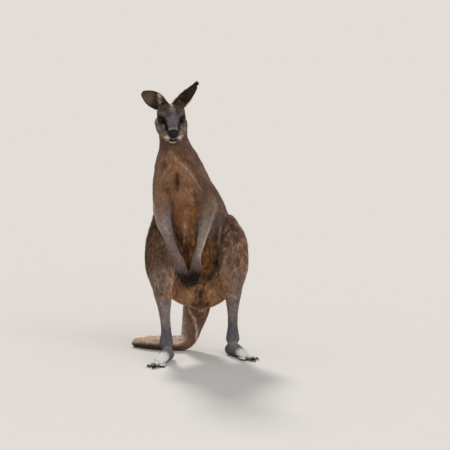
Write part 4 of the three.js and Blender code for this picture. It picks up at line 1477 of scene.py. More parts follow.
    def _head(self, p: Array, shares: Array, colour: Array) -> Array:
        """Slate forehead and bridge, dark eye patches and stripes that are partly painted shade, pale lips,
        mouth and chin.

        Args:
            p: places.
            shares: the parts they belong to.
            colour: the colour so far.

        Returns:
            The colour with these markings.
        """
        side, forward, up = HEAD.local(p).T
        wide = np.abs(side)
        face = share_of(shares, Part.FACE)
        blotch = cloud(p, 9, 12) + 0.6 * cloud(p, 4.5, 13)
        colour = colour * (1 + 0.45 * np.clip(blotch, -1, 1) * face * smooth(wide, 20, 40))[:, None]
        mask_edge = np.interp(up, [-30, 0, 40], [24, 27, 42])
        slate = smooth(wide, mask_edge + 7, mask_edge - 7) * smooth(up, -36, -24) * smooth(forward, -35, -10)
        shade = 0.5 * smooth(up, 0, 40) * smooth(np.abs(side - 6), 6, 20)
        bluish = np.array(self.slate) * (1 - shade)[:, None]
        colour = blend(colour, bluish, 0.95 * face * slate)
        crown = smooth(forward, -5, -40) * smooth(up, 10, 40)
        colour = blend(colour, self.crown, face * crown * smooth(cloud(p, 7, 14), -0.9, 0.1))
        # dark eye patches, partly painted shade in the sockets
        eye = hill(wide, 55, 18) * hill(up, 5, 18) * smooth(forward, -22, 4)
        colour = blend(colour, self.eye_patch, face * np.clip(1.9 * eye, 0, 0.96))
        # stripes of painted shade down the sides of the bridge
        stripe_line = np.interp(up, [-44, -20, 5], [27, 31, 40])
        stripe = hill(wide, stripe_line, 6.5) * smooth(up, -52, -40) * smooth(up, 18, 4)
        stripe *= smooth(forward, 12, 28)
        colour = blend(colour, self.eye_patch, face * np.clip(1.4 * stripe, 0, 0.95))
        arc = hill(up, -27 - 0.012 * side * side, 4) * smooth(wide, 27, 20) * smooth(forward, 75, 90)
        colour = blend(colour, self.pale, 0.6 * face * arc)
        lip = hill(side, np.where(side < 0, -31, 37), 15) * hill(up, -73, 12) * smooth(forward, 40, 62)
        colour = blend(colour, self.pale, 0.95 * face * lip)
        under_nose = smooth(wide, 24, 14) * smooth(up, -62, -68) * smooth(up, -88, -82)
        under_nose *= smooth(forward, 70, 90)
        colour = blend(colour, np.array(self.slate) * 1.3, 0.9 * face * under_nose)
        cheek = hill(wide, 82, 7) * hill(up, -14, 12) + 0.6 * hill(wide, 66, 8) * hill(up, -44, 16)
        colour = blend(colour, self.pale, 0.55 * face * np.clip(cheek, 0, 1) * smooth(forward, -50, -10))
        jaw = hill(up, np.interp(wide, [0, 25, 60], [-100, -95, -66]), 4.5) * smooth(forward, 0, 30)
        colour = blend(colour, self.pale, 0.5 * face * jaw * smooth(wide, 66, 56))
        chin = smooth(up, -90, -94) * smooth(forward, 20, 45)
        colour = blend(colour, self.chin, 0.85 * face * chin * smooth(wide, 34, 24))
        mouth = hill(up, -89 + 0.12 * wide, 4.6) * smooth(wide, 24, 16) * smooth(forward, 55, 75)
        corner = hill(up, -84 + 0.1 * wide, 2.0) * smooth(wide, 48, 38) * smooth(forward, 30, 55) * 0.6
        colour = blend(colour, self.black, face * np.clip(1.3 * mouth + corner, 0, 0.97))
        tuft = hill(side, 5, 8) * hill(forward, -34, 14) * smooth(up, 46, 54)
        colour = blend(colour, self.pale, 0.8 * face * tuft)
        from_nose = (np.stack([side, forward, up], 1) - vec(0, 108, -50)) / vec(29, 22, 22.5)
        by_nose = np.linalg.norm(from_nose, axis=1)
        return blend(colour, self.black, smooth(by_nose, 1.12, 0.98))


MARKINGS = Markings()


# ------------------------------------------------------------------ hair


@dataclass(frozen=True)
class Pelt:
    """How the hair grows on one part of the body, in mm."""

    depth: float                    # from the skin to the hair tips
    length: float
    width: float
    cover: float                    # how many hairs lie over each other
    lock: float                     # how much the tips of a lock draw together, 0 to 1
    lock_size: float


PELTS = {
    Part.FACE: Pelt(2.8, 8, 1.7, 1.5, 0.25, 8),
    Part.NECK: Pelt(4.2, 13, 2.3, 1.9, 0.25, 12),
    Part.TRUNK: Pelt(6.0, 20, 2.8, 2.1, 0.45, 18),
    Part.BELLY: Pelt(4.0, 12, 2.2, 1.9, 0.25, 12),
    Part.HAUNCH: Pelt(7.0, 25, 3.1, 2.1, 0.6, 20),
    Part.ARM: Pelt(4.0, 12, 2.1, 1.8, 0.25, 12),
    Part.FOREARM: Pelt(3.0, 9, 1.8, 1.6, 0.2, 10),
    Part.HAND: Pelt(1.0, 4.0, 1.3, 1.1, 0.1, 6),
    Part.SHIN: Pelt(3.0, 9, 1.9, 1.6, 0.2, 10),
    Part.FOOT: Pelt(2.0, 7, 1.8, 1.7, 0.2, 8),
    Part.TAIL: Pelt(3.8, 11, 2.2, 1.8, 0.3, 12),
}


def pelt_values(shares: Array, name: str) -> Array:
    """One size of the pelts, mixed by the shares of the parts."""
    return shares @ np.array([getattr(PELTS[part], name) for part in Part], dtype=float)


@dataclass
class Hide:
    """The skin's surface and what grows on it, one row a vertex."""

    points: Array
    triangles: Array
    normals: Array
    shares: Array
    lie: Array
    colours: Array


@dataclass
class Hairs:
    """Tufts before they are meshed, one row each, lengths in mm.

    Attributes:
        roots, normals, lies: where each starts, the way the skin faces, the way it lies.
        lengths, widths, rises: its length, its width, and how far its tip stands off.
        colours: its colour.
        lean: how far its tip is drawn aside, as a vector.
        parts: the number of the Part that it grows on.
    """

    roots: Array
    normals: Array
    lies: Array
    lengths: Array
    widths: Array
    rises: Array
    colours: Array
    lean: Array
    parts: Array

    def chosen(self, mask: Array) -> "Hairs":
        """The hairs where the mask holds."""
        return Hairs(*(getattr(self, name)[mask] for name in self.__dataclass_fields__))

    def mesh(self, map_spots: Array, joints: int) -> tuple[Array, Array, Array, Array]:
        """Closed three-sided tufts, all of one make.

        A tuft's middle line is root + lie * length * t + normal * rise * (1 - (1 - t)^2) +
        lean * t^2. Its section at t is a triangle of half width w / 2 * (1 - t)^0.7, half as
        high as it is wide, which the tip closes on a point. Its root is darker than its tip,
        less so on pale hair.

        Args:
            map_spots: where each root lies on the unwrap.
            joints: how many sections stand before the tip, 1 or 2.

        Returns:
            Vertices, three-sided faces, colours of the vertices, and map places of the
            face corners.
        """
        count = len(self.roots)
        across = unit(np.cross(self.normals, self.lies))
        steps = (0.0, 0.5)[:joints]
        pale = smooth(self.colours.mean(1), 0.3, 0.6)
        shade = np.stack([0.55 + 0.4 * pale, 0.95 + 0.05 * pale], axis=1)
        out, tint, spots = [], [], []
        corner_way = ((-1, 0), (1, 0), (0, 1))
        for t, dark in zip(steps, shade.T):
            half = self.widths[:, None] / 2 * (1 - t) ** 0.7
            line = self._line(t) - self.normals * (1 - t) * 0.6
            for aside, above in corner_way:
                out.append(line + across * aside * half + self.normals * above * half)
                tint.append(self.colours * dark[:, None])
                spots.append(map_spots + PATCH * vec(0.3 * aside, t + 0.3 * above))
        out.append(self._line(1.0))
        tint.append(self.colours * 1.28)
        spots.append(map_spots + PATCH * vec(0.0, 1.0))
        each = len(out)
        points = np.stack(out, axis=1).reshape(-1, 3)
        tints = np.stack(tint, axis=1).reshape(-1, 3)
        places = np.stack(spots, axis=1).reshape(-1, 2)
        faces = [(0, 2, 1)]
        for ring in range(joints):
            a, b, c = 3 * ring, 3 * ring + 1, 3 * ring + 2
            if ring == joints - 1:
                tip = 3 * joints
                faces += [(a, b, tip), (b, c, tip), (c, a, tip)]
            else:
                for u, v in ((a, b), (b, c), (c, a)):
                    faces += [(u, v, v + 3), (u, v + 3, u + 3)]
        numbers = (np.arange(count)[:, None, None] * each + np.array(faces)).reshape(-1, 3)
        return points, numbers, tints, places[numbers.ravel()]

    def _line(self, t: float) -> Array:
        """The middle lines at the share t.

        Args:
            t: share of the hair's length, from root to tip.

        Returns:
            One place for each hair.
        """
        rise = 1 - (1 - t) ** 2
        return (self.roots + self.lies * (self.lengths * t)[:, None]
                + self.normals * (self.rises * rise)[:, None] + self.lean * t * t)


PATCH = 0.003                       # size of a tuft's patch on the unwrap


@dataclass(frozen=True)
class CoatRegion:
    """One piece of coat: the parts that it covers, and how many triangles it may have."""

    name: str
    slot: str
    parts: tuple[Part, ...]
    side: int = 0                   # -1 the animal's right, 1 its left, 0 both
    facing: int = 0                 # -1 front, 1 back, 0 all round
    budget: int = 190000


COATS = (
    CoatRegion("coat_head", "face_coat", (Part.FACE,)),
    CoatRegion("coat_neck", "coat", (Part.NECK,)),
    CoatRegion("coat_breast_and_belly", "coat", (Part.TRUNK, Part.BELLY), facing=-1),
    CoatRegion("coat_back", "coat", (Part.TRUNK, Part.BELLY), facing=1),
    CoatRegion("coat_haunch_r", "coat", (Part.HAUNCH,), side=-1),
    CoatRegion("coat_haunch_l", "coat", (Part.HAUNCH,), side=1),
    CoatRegion("coat_arm_r", "limb_coat", (Part.ARM, Part.FOREARM, Part.HAND), side=-1),
    CoatRegion("coat_arm_l", "limb_coat", (Part.ARM, Part.FOREARM, Part.HAND), side=1),
    CoatRegion("coat_leg_r", "foot_coat", (Part.SHIN, Part.FOOT), side=-1),
    CoatRegion("coat_leg_l", "foot_coat", (Part.SHIN, Part.FOOT), side=1),
    CoatRegion("coat_tail", "coat", (Part.TAIL,)),
)


@dataclass(frozen=True)
class Coat:
    """All the hair that grows on the skin."""

    total_triangles: int = 1350000
    long_hair: float = 11.5         # mm; longer tufts have two sections, shorter ones one
    contrast: float = 0.42          # spread of light and dark between locks and tufts
    clearance: float = 0.6          # mm between the lowest tips and the floor
    jitter: float = 0.13            # how far single tufts lie from the coat's direction
    swirl: float = 0.22             # how far whole patches do
    swirl_size: float = 34          # mm
    spread: float = 0.2             # of the lengths
    crown_length: float = 1.8       # how much longer the hair between the ears is
    crown_rise: float = 13          # mm that it stands up
    steepest: float = 0.9           # of hair turned level with the floor

    def grow(self, hide: Hide) -> Hairs:
        """Chooses roots and sizes.

        The number of roots on a triangle follows its area times cover / (length * width / 2).
        Roots are spaced evenly along the running sum of that number, so no place is left bare.

        Args:
            hide: the skin.

        Returns:
            The tufts of the whole body.
        """
        rng = np.random.default_rng(SEED)
        corners = hide.points[hide.triangles]
        edges = corners[:, 1:] - corners[:, :1]
        area = np.linalg.norm(np.cross(edges[:, 0], edges[:, 1]), axis=1) / 2
        shares = hide.shares[hide.triangles].mean(1)
        length = pelt_values(shares, "length")
        wanted = area * pelt_values(shares, "cover") / (length * pelt_values(shares, "width") / 2)
        wanted *= self._bald(hide.points[hide.triangles].mean(1))
        cost = triangles_of(np.where(length > self.long_hair, 2, 1))
        running = np.cumsum(wanted * min(1.0, self.total_triangles / (wanted * cost).sum()))
        count = int(running[-1])
        triangle = np.searchsorted(running, (np.arange(count) + rng.random(count)) / count * running[-1])
        triangle = np.clip(triangle, 0, len(area) - 1)
        share = rng.random((count, 2))
        share = np.where(share.sum(1, keepdims=True) > 1, 1 - share, share)
        weight = np.column_stack([1 - share.sum(1), share])[..., None]
        own = hide.triangles[triangle]

        def mixed(values: Array) -> Array:
            """A value of the skin's vertices, taken at the roots."""
            return (values[own] * weight).sum(1)

        roots, normals, shares = mixed(hide.points), unit(mixed(hide.normals)), mixed(hide.shares)
        jitter = rng.normal(size=(count, 3)) * self.jitter
        swirl = np.stack([cloud(roots, self.swirl_size, salt) for salt in (21, 22, 23)], axis=1) * self.swirl
        lies = mixed(hide.lie) + jitter + swirl
        lies = unit(lies - dot(lies, normals)[:, None] * normals)
        spread = rng.lognormal(0, self.spread, count)
        crown = self._crown(roots, shares)
        longer = self._shagginess(roots, shares) + self.crown_length * crown
        lengths = pelt_values(shares, "length") * spread * longer
        widths = pelt_values(shares, "width") * rng.uniform(0.75, 1.25, count)
        rises = pelt_values(shares, "depth") + self.crown_rise * crown
        rises = rises * rng.uniform(0.65, 1.3, count)
        lean, lock_tone_and_shade = self._locks(roots, normals, shares)
        calm = 0.35 * share_of(shares, Part.FACE) + 0.45 * MARKINGS.sleek(roots, shares)
        varied = 0.9 * lock_tone_and_shade + 0.5 * rng.normal(size=count) + 0.6 * cloud(roots, 13, 31)
        tone = np.exp(self.contrast * (1 - calm) * varied)
        lies = self._above_floor(roots, lies, normals, lengths, rises)
        return Hairs(roots, normals, lies, lengths, widths, rises,
                     mixed(hide.colours) * np.clip(tone, 0.3, 2.2)[:, None], lean, shares.argmax(1))

    def _above_floor(self, roots: Array, lies: Array, normals: Array, lengths: Array, rises: Array) -> Array:
        """Turns hair that would reach under the floor until it lies level with it.

        Args:
            roots: where the hairs grow.
            lies: which way they lie.
            normals: directions out of the skin.
            lengths: their lengths.
            rises: how far their tips stand off the skin.

        Returns:
            The directions in which they lie.
        """
        deep = roots[:, 2] + normals[:, 2] * rises + lies[:, 2] * lengths < self.clearance
        level = (self.clearance - roots[:, 2] - normals[:, 2] * rises) / lengths
        floor_way = np.where(deep, level, lies[:, 2])
        turned = lies.copy()
        turned[:, 2] = np.clip(floor_way, -self.steepest, self.steepest)
        return unit(turned)

    @staticmethod
    def _bald(points: Array) -> Array:
        """1 where hair grows, 0 over the nose pad and the eyes.

        Args:
            points: places on the skin.

        Returns:
            A number from 0 to 1 for each.
        """
        local = HEAD.local(points)
        from_nose = (local - vec(0, 111, -50)) / vec(28, 22, 22)
        nose = dot(from_nose, from_nose)
        eye = np.abs(local) * vec(1, 0, 0) + local * vec(0, 1, 1) - vec(*SKULL.eye_place)
        return np.where((nose < 1) | (np.linalg.norm(eye, axis=1) < SKULL.eye_radius + 0.4), 0.0, 1.0)

    @staticmethod
    def _shagginess(points: Array, shares: Array) -> Array:
        """Longer hair at the hips, the low belly and the flanks, in patches, and on the cheeks.

        Args:
            points: places on the skin.
            shares: the parts they belong to.

        Returns:
            A factor for the length of each hair.
        """
        z = points[:, 2]
        hips = share_of(shares, Part.HAUNCH) * hill(z, 640, 60)
        loins = share_of(shares, Part.TRUNK, Part.BELLY) * smooth(z, 720, 560)
        side, _, up = HEAD.local(points).T
        cheeks = share_of(shares, Part.FACE) * hill(np.abs(side), 80, 16) * hill(up, -18, 20)
        patchy = 1 + 0.5 * cloud(points, 40, 41)
        return 1 + (0.6 * hips + 0.35 * loins) * patchy + 0.5 * cheeks

    @staticmethod
    def _crown(points: Array, shares: Array) -> Array:
        """1 where the hair stands up, between the ears and round their roots.

        Args:
            points: places on the skin.
            shares: the parts they belong to.

        Returns:
            A number from 0 to 1 for each.
        """
        side, forward, up = HEAD.local(points).T
        between = hill(forward, -46, 24) * smooth(up, 36, 54) * smooth(np.abs(side), 74, 60)
        return share_of(shares, Part.FACE) * between

    @staticmethod
    def _locks(roots: Array, normals: Array, shares: Array) -> tuple[Array, Array]:
        """How far each tip is drawn towards the middle of its lock, and the lock's tone.

        Space is divided into cubes with one lock's middle at a random place in each; a root
        belongs to the nearest of the 27 round it. A lock has a tone from -1 to 1 of its own,
        and is painted darker towards its edge, as shade in the gaps between locks.

        Args:
            roots: where the hairs grow.
            normals: directions out of the skin.
            shares: the parts they belong to.

        Returns:
            A way for each tip, and a tone for each hair.
        """
        size = pelt_values(shares, "lock_size")[:, None]
        size = 2.0 * np.round(size / 2.0)
        scaled = roots / size
        base = np.floor(scaled)
        best = np.full(len(roots), np.inf)
        tone = np.zeros(len(roots))
        to_middle = np.zeros_like(roots)
        for step in np.ndindex(3, 3, 3):
            cell = base + np.array(step) - 1
            spot = cell + np.stack([scatter(cell, salt) for salt in (51, 52, 53)], axis=1)
            way = (spot - scaled) * size
            far = dot(way, way)
            closer = far < best
            best = np.where(closer, far, best)
            tone = np.where(closer, 2 * scatter(cell, 54) - 1, tone)
            to_middle[closer] = way[closer]
        edge = np.sqrt(best) / size[:, 0]
        to_middle -= dot(to_middle, normals)[:, None] * normals
        # painted shade: the tone falls towards each lock's edge
        return to_middle * pelt_values(shares, "lock")[:, None], tone - 1.2 * (edge - 0.4)


def triangles_of(joints: Array) -> Array:
    """How many triangles a tuft of 1 or 2 sections has: its base, its sides and its tip."""
    return 6 * joints - 2


def coat_piece(name: str, slot: str, hairs: Hairs, joints: Array, material: bpy.types.Material,
               map_spots: Array) -> bpy.types.Object:
    """Meshes hairs as one piece.

    Args:
        name: the piece's name.
        slot: the record's material slot.
        hairs: the tufts.
        joints: 1 or 2 sections, for each tuft.
        material: the coat's finish.
        map_spots: where each root lies on the unwrap, which is then spread over the map.

    Returns:
        The piece.
    """
    low, high = map_spots.min(0), map_spots.max(0)
    map_spots = 0.02 + 0.95 * (map_spots - low) / (high - low)
    points, faces, tints, places, start = [], [], [], [], 0
    for number in (1, 2):
        mask = joints == number
        if not mask.any():
            continue
        own, own_faces, own_tints, own_places = hairs.chosen(mask).mesh(map_spots[mask], number)
        points.append(own)
        faces.append(own_faces + start)
        tints.append(own_tints)
        places.append(own_places)
        start += len(own)
    return make_piece(name, np.concatenate(points), np.concatenate(faces), material, slot,
                      np.concatenate(tints), np.concatenate(places))


# ------------------------------------------------------------------ finishes


class Grain:
    """Shader node groups that several finishes share, built once each."""

    _made: dict[str, bpy.types.ShaderNodeTree] = {}

    @classmethod
    def hair(cls) -> bpy.types.ShaderNodeTree:
        """Fine hair: noise drawn out three times along the height, as a shade and a height.

        Inputs are Colour, Scale and Depth; outputs are the shaded Colour and a Height.
        """
        return cls._get("fine hair", 3.0)

    @classmethod
    def pores(cls) -> bpy.types.ShaderNodeTree:
        """Even grain, for bare skin and horn: the same group without the drawing out."""
        return cls._get("pores", 1.0)

    @classmethod
    def _get(cls, name: str, stretch: float) -> bpy.types.ShaderNodeTree:
        """The group of that name, made on the first call.

        Args:
            name: the group's name.
            stretch: how much longer than wide the grain is.

        Returns:
            The group.
        """
        if name in cls._made:
            return cls._made[name]
        tree = bpy.data.node_groups.new(name, "ShaderNodeTree")
        face = tree.interface
        face.new_socket("Colour", in_out="INPUT", socket_type="NodeSocketColor")
        for label, value in (("Scale", 400.0), ("Depth", 0.3)):
            face.new_socket(label, in_out="INPUT", socket_type="NodeSocketFloat").default_value = value
        face.new_socket("Colour", in_out="OUTPUT", socket_type="NodeSocketColor")
        face.new_socket("Height", in_out="OUTPUT", socket_type="NodeSocketFloat")
        nodes, links = tree.nodes, tree.links
        entry, leave = nodes.new("NodeGroupInput"), nodes.new("NodeGroupOutput")
        place = nodes.new("ShaderNodeTexCoord")
        drawn = nodes.new("ShaderNodeMapping")
        drawn.inputs["Scale"].default_value = (1, 1, 1 / stretch)
        noise = nodes.new("ShaderNodeTexNoise")
        noise.inputs["Detail"].default_value = 3
        links.new(place.outputs["Object"], drawn.inputs["Vector"])
        links.new(drawn.outputs["Vector"], noise.inputs["Vector"])
        links.new(entry.outputs["Scale"], noise.inputs["Scale"])
        centred = nodes.new("ShaderNodeMath")
        centred.operation = "SUBTRACT"
        centred.inputs[1].default_value = 0.5
        links.new(noise.outputs["Fac"], centred.inputs[0])
        strong = nodes.new("ShaderNodeMath")
        strong.operation = "MULTIPLY"
        links.new(centred.outputs[0], strong.inputs[0])
        links.new(entry.outputs["Depth"], strong.inputs[1])
        shade = nodes.new("ShaderNodeMath")
        shade.operation = "MULTIPLY_ADD"
        shade.inputs[1].default_value = 2.5
        shade.inputs[2].default_value = 1.0
        links.new(strong.outputs[0], shade.inputs[0])
        tint = nodes.new("ShaderNodeVectorMath")
        tint.operation = "SCALE"
        links.new(entry.outputs["Colour"], tint.inputs[0])
        links.new(shade.outputs[0], tint.inputs["Scale"])
        links.new(tint.outputs["Vector"], leave.inputs["Colour"])
        links.new(noise.outputs["Fac"], leave.inputs["Height"])
        cls._made[name] = tree
        return tree


def shader_of(material: bpy.types.Material) -> bpy.types.Node:
    """The node that holds a new material's surface."""
    return next(node for node in material.node_tree.nodes if node.type == "BSDF_PRINCIPLED")


class Ground(Enum):
    """Where a finish takes its colour from."""

    MARKING = "the attribute of that name"
    PLAIN = "one colour"


@dataclass(frozen=True)
class Finish:
    """A surface: its colour, gloss and grain.

    Attributes:
        name: the material's name.
        ground: whether the colour is the piece's marking or one plain colour.
        colour: the plain colour.
        roughness, specular: the shader's own values.
        grain_scale: cycles of grain a metre.
        grain_depth: how strongly the grain shades the colour.
        bump: how strongly it stands out, in mm.
        drawn: whether the grain is drawn out, as hair is.
    """

    name: str
    ground: Ground = Ground.MARKING
    colour: Triple = (0.5, 0.5, 0.5)
    roughness: float = 0.8
    specular: float = 0.25
    grain_scale: float = 500
    grain_depth: float = 0.3
    bump: float = 0.5
    drawn: bool = True

    def material(self) -> bpy.types.Material:
        """Builds the node tree.

        Returns:
            The material.
        """
        material = bpy.data.materials.new(self.name)
        material.use_nodes = True
        nodes, links = material.node_tree.nodes, material.node_tree.links
        shader = shader_of(material)
        shader.inputs["Roughness"].default_value = self.roughness
        shader.inputs["Specular IOR Level"].default_value = self.specular
        group = nodes.new("ShaderNodeGroup")
        group.node_tree = Grain.hair() if self.drawn else Grain.pores()
        group.inputs["Scale"].default_value = self.grain_scale
        group.inputs["Depth"].default_value = self.grain_depth
        group.inputs["Colour"].default_value = (*self.colour, 1)
        if self.ground is Ground.MARKING:
            marking = nodes.new("ShaderNodeAttribute")
            marking.attribute_name = "marking"
            links.new(marking.outputs["Color"], group.inputs["Colour"])
        links.new(group.outputs["Colour"], shader.inputs["Base Color"])
        if self.bump:
            bump = nodes.new("ShaderNodeBump")
            bump.inputs["Distance"].default_value = self.bump * MM
            bump.inputs["Strength"].default_value = 1.0
            links.new(group.outputs["Height"], bump.inputs["Height"])
            links.new(bump.outputs["Normal"], shader.inputs["Normal"])
        return material


SKIN = Finish("skin under the coat", roughness=0.9, specular=0.15, grain_scale=700,
              grain_depth=0.5, bump=0.8)
HAIR = Finish("hair", roughness=0.7, specular=0.06, grain_scale=300, grain_depth=0.25, bump=0)
EAR = Finish("ear leather", roughness=0.8, specular=0.2, grain_scale=600, grain_depth=0.4, bump=0.4)
NOSE = Finish("nose leather", Ground.PLAIN, (0.008, 0.0065, 0.0065), 0.45, 0.14,
              grain_scale=900, grain_depth=0.6, bump=0.25, drawn=False)
HORN = Finish("claw horn", Ground.PLAIN, (0.007, 0.006, 0.005), 0.3, 0.22, grain_scale=250, grain_depth=0.6,
              bump=0.1)
EYEBALL = Finish("eyeball", roughness=0.07, specular=0.12, grain_scale=900, grain_depth=0.2, bump=0,
                 drawn=False)
LID = Finish("lid", Ground.PLAIN, (0.006, 0.0045, 0.004), 0.6, 0.12,
             grain_scale=900, grain_depth=0.5, bump=0.15, drawn=False)


# ------------------------------------------------------------------ the pieces


@dataclass(frozen=True)
class Skin:
    """The one skin of the body, under the coat."""

    cell: float = 6.0               # mm
    quick_cell: float = 8
    low: Triple = (-400, -530, -8)
    high: Triple = (340, 350, 1360)
    stands_for: tuple[str, ...] = (
        "head", "neck", "trunk", "loins", "upper_arm_r", "upper_arm_l", "forearm_r", "forearm_l",
        "hand_r", "hand_l", "thigh_r", "thigh_l", "shin_r", "shin_l", "foot_r", "foot_l",
        "tail_1", "tail_2", "tail_3", "tail_4")
    floor_room: float = 0.4         # mm of the coat's depth given up at the soles
    lowest: float = 0.15            # mm above the floor
    shade: float = 0.8              # of the coat's colour, between the hairs

    def flesh(self) -> Flesh:
        """The whole body's chains, in the order in which they melt together.

        Returns:
            The body as one field.
        """
        arms = [arm.chains() for arm in ARMS]
        chains = Trunk().chains() + [chains[0] for chains in arms]
        for leg in LEGS:
            chains += leg.chains()
        chains += Loins().chains() + Loins().tail_chains()
        for leg in LEGS:
            chains += leg.foot_chains()
        chains += SKULL.chains()
        for own in arms:
            chains += own[1:]
        return Flesh(chains)

    def hide(self) -> Hide:
        """Meshes the body, refines head, hands and feet, and works out what grows where.

        Each vertex is moved down the field's slope until it lies under the outside of the coat
        by the depth of hair that grows there, and never under the floor.

        Returns:
            The skin, and what grows where on it.
        """
        flesh = self.flesh()
        cell = self.cell
        points, quads = Net(flesh, self.low, self.high, cell).mesh()
        triangles = in_triangles(points, quads)
        LOG.info("net of %d vertices", len(points))
        points = flesh.settle(points, 0.0, rounds=2)
        fine = self._fine(points)
        points, triangles = refined(points, triangles, fine[triangles].any(1))
        points = flesh.settle(points, 0.0, rounds=1)
        shares, _ = flesh.nature(points)
        room = np.maximum(points[:, 2] - self.floor_room, 0)
        points = flesh.settle(points, np.minimum(pelt_values(shares, "depth"), room), rounds=3)
        points[:, 2] = np.maximum(points[:, 2], self.lowest)
        normals = unit(flesh.slope(points))
        shares, lie = flesh.nature(points)
        lie = unit(lie - dot(lie, normals)[:, None] * normals)
        colours = MARKINGS.paint(points, normals, shares)
        return Hide(points, triangles, normals, shares, lie, colours)

    @staticmethod
    def _fine(points: Array) -> Array:
        """Where the mesh is cut finer: the face, the hands and the feet.

        Args:
            points: places on the skin.

        Returns:
            A mask, true where the mesh is cut finer.
        """
        local = HEAD.local(points)
        face = (local[:, 1] > -40) & (local[:, 2] > -125) & (points[:, 2] > 1120)
        hands = (points[:, 1] < -150) & (points[:, 2] > 370) & (points[:, 2] < 480)
        hands &= np.abs(points[:, 0]) < 130
        feet = points[:, 2] < 62
        toes = feet & (np.where(points[:, 0] < 0, points[:, 1] < -270, points[:, 1] < -110))
        return face | hands | toes

    def build(self, hide: Hide) -> bpy.types.Object:
        """Makes the skin, dark between the hairs.

        Args:
            hide: the skin, and what grows where on it.

        Returns:
            The piece.
        """
        return make_piece("skin", hide.points, hide.triangles, SKIN.material(), "coat",
                          hide.colours * self.shade, unwrapped(hide.points, hide.triangles),
                          self.stands_for)


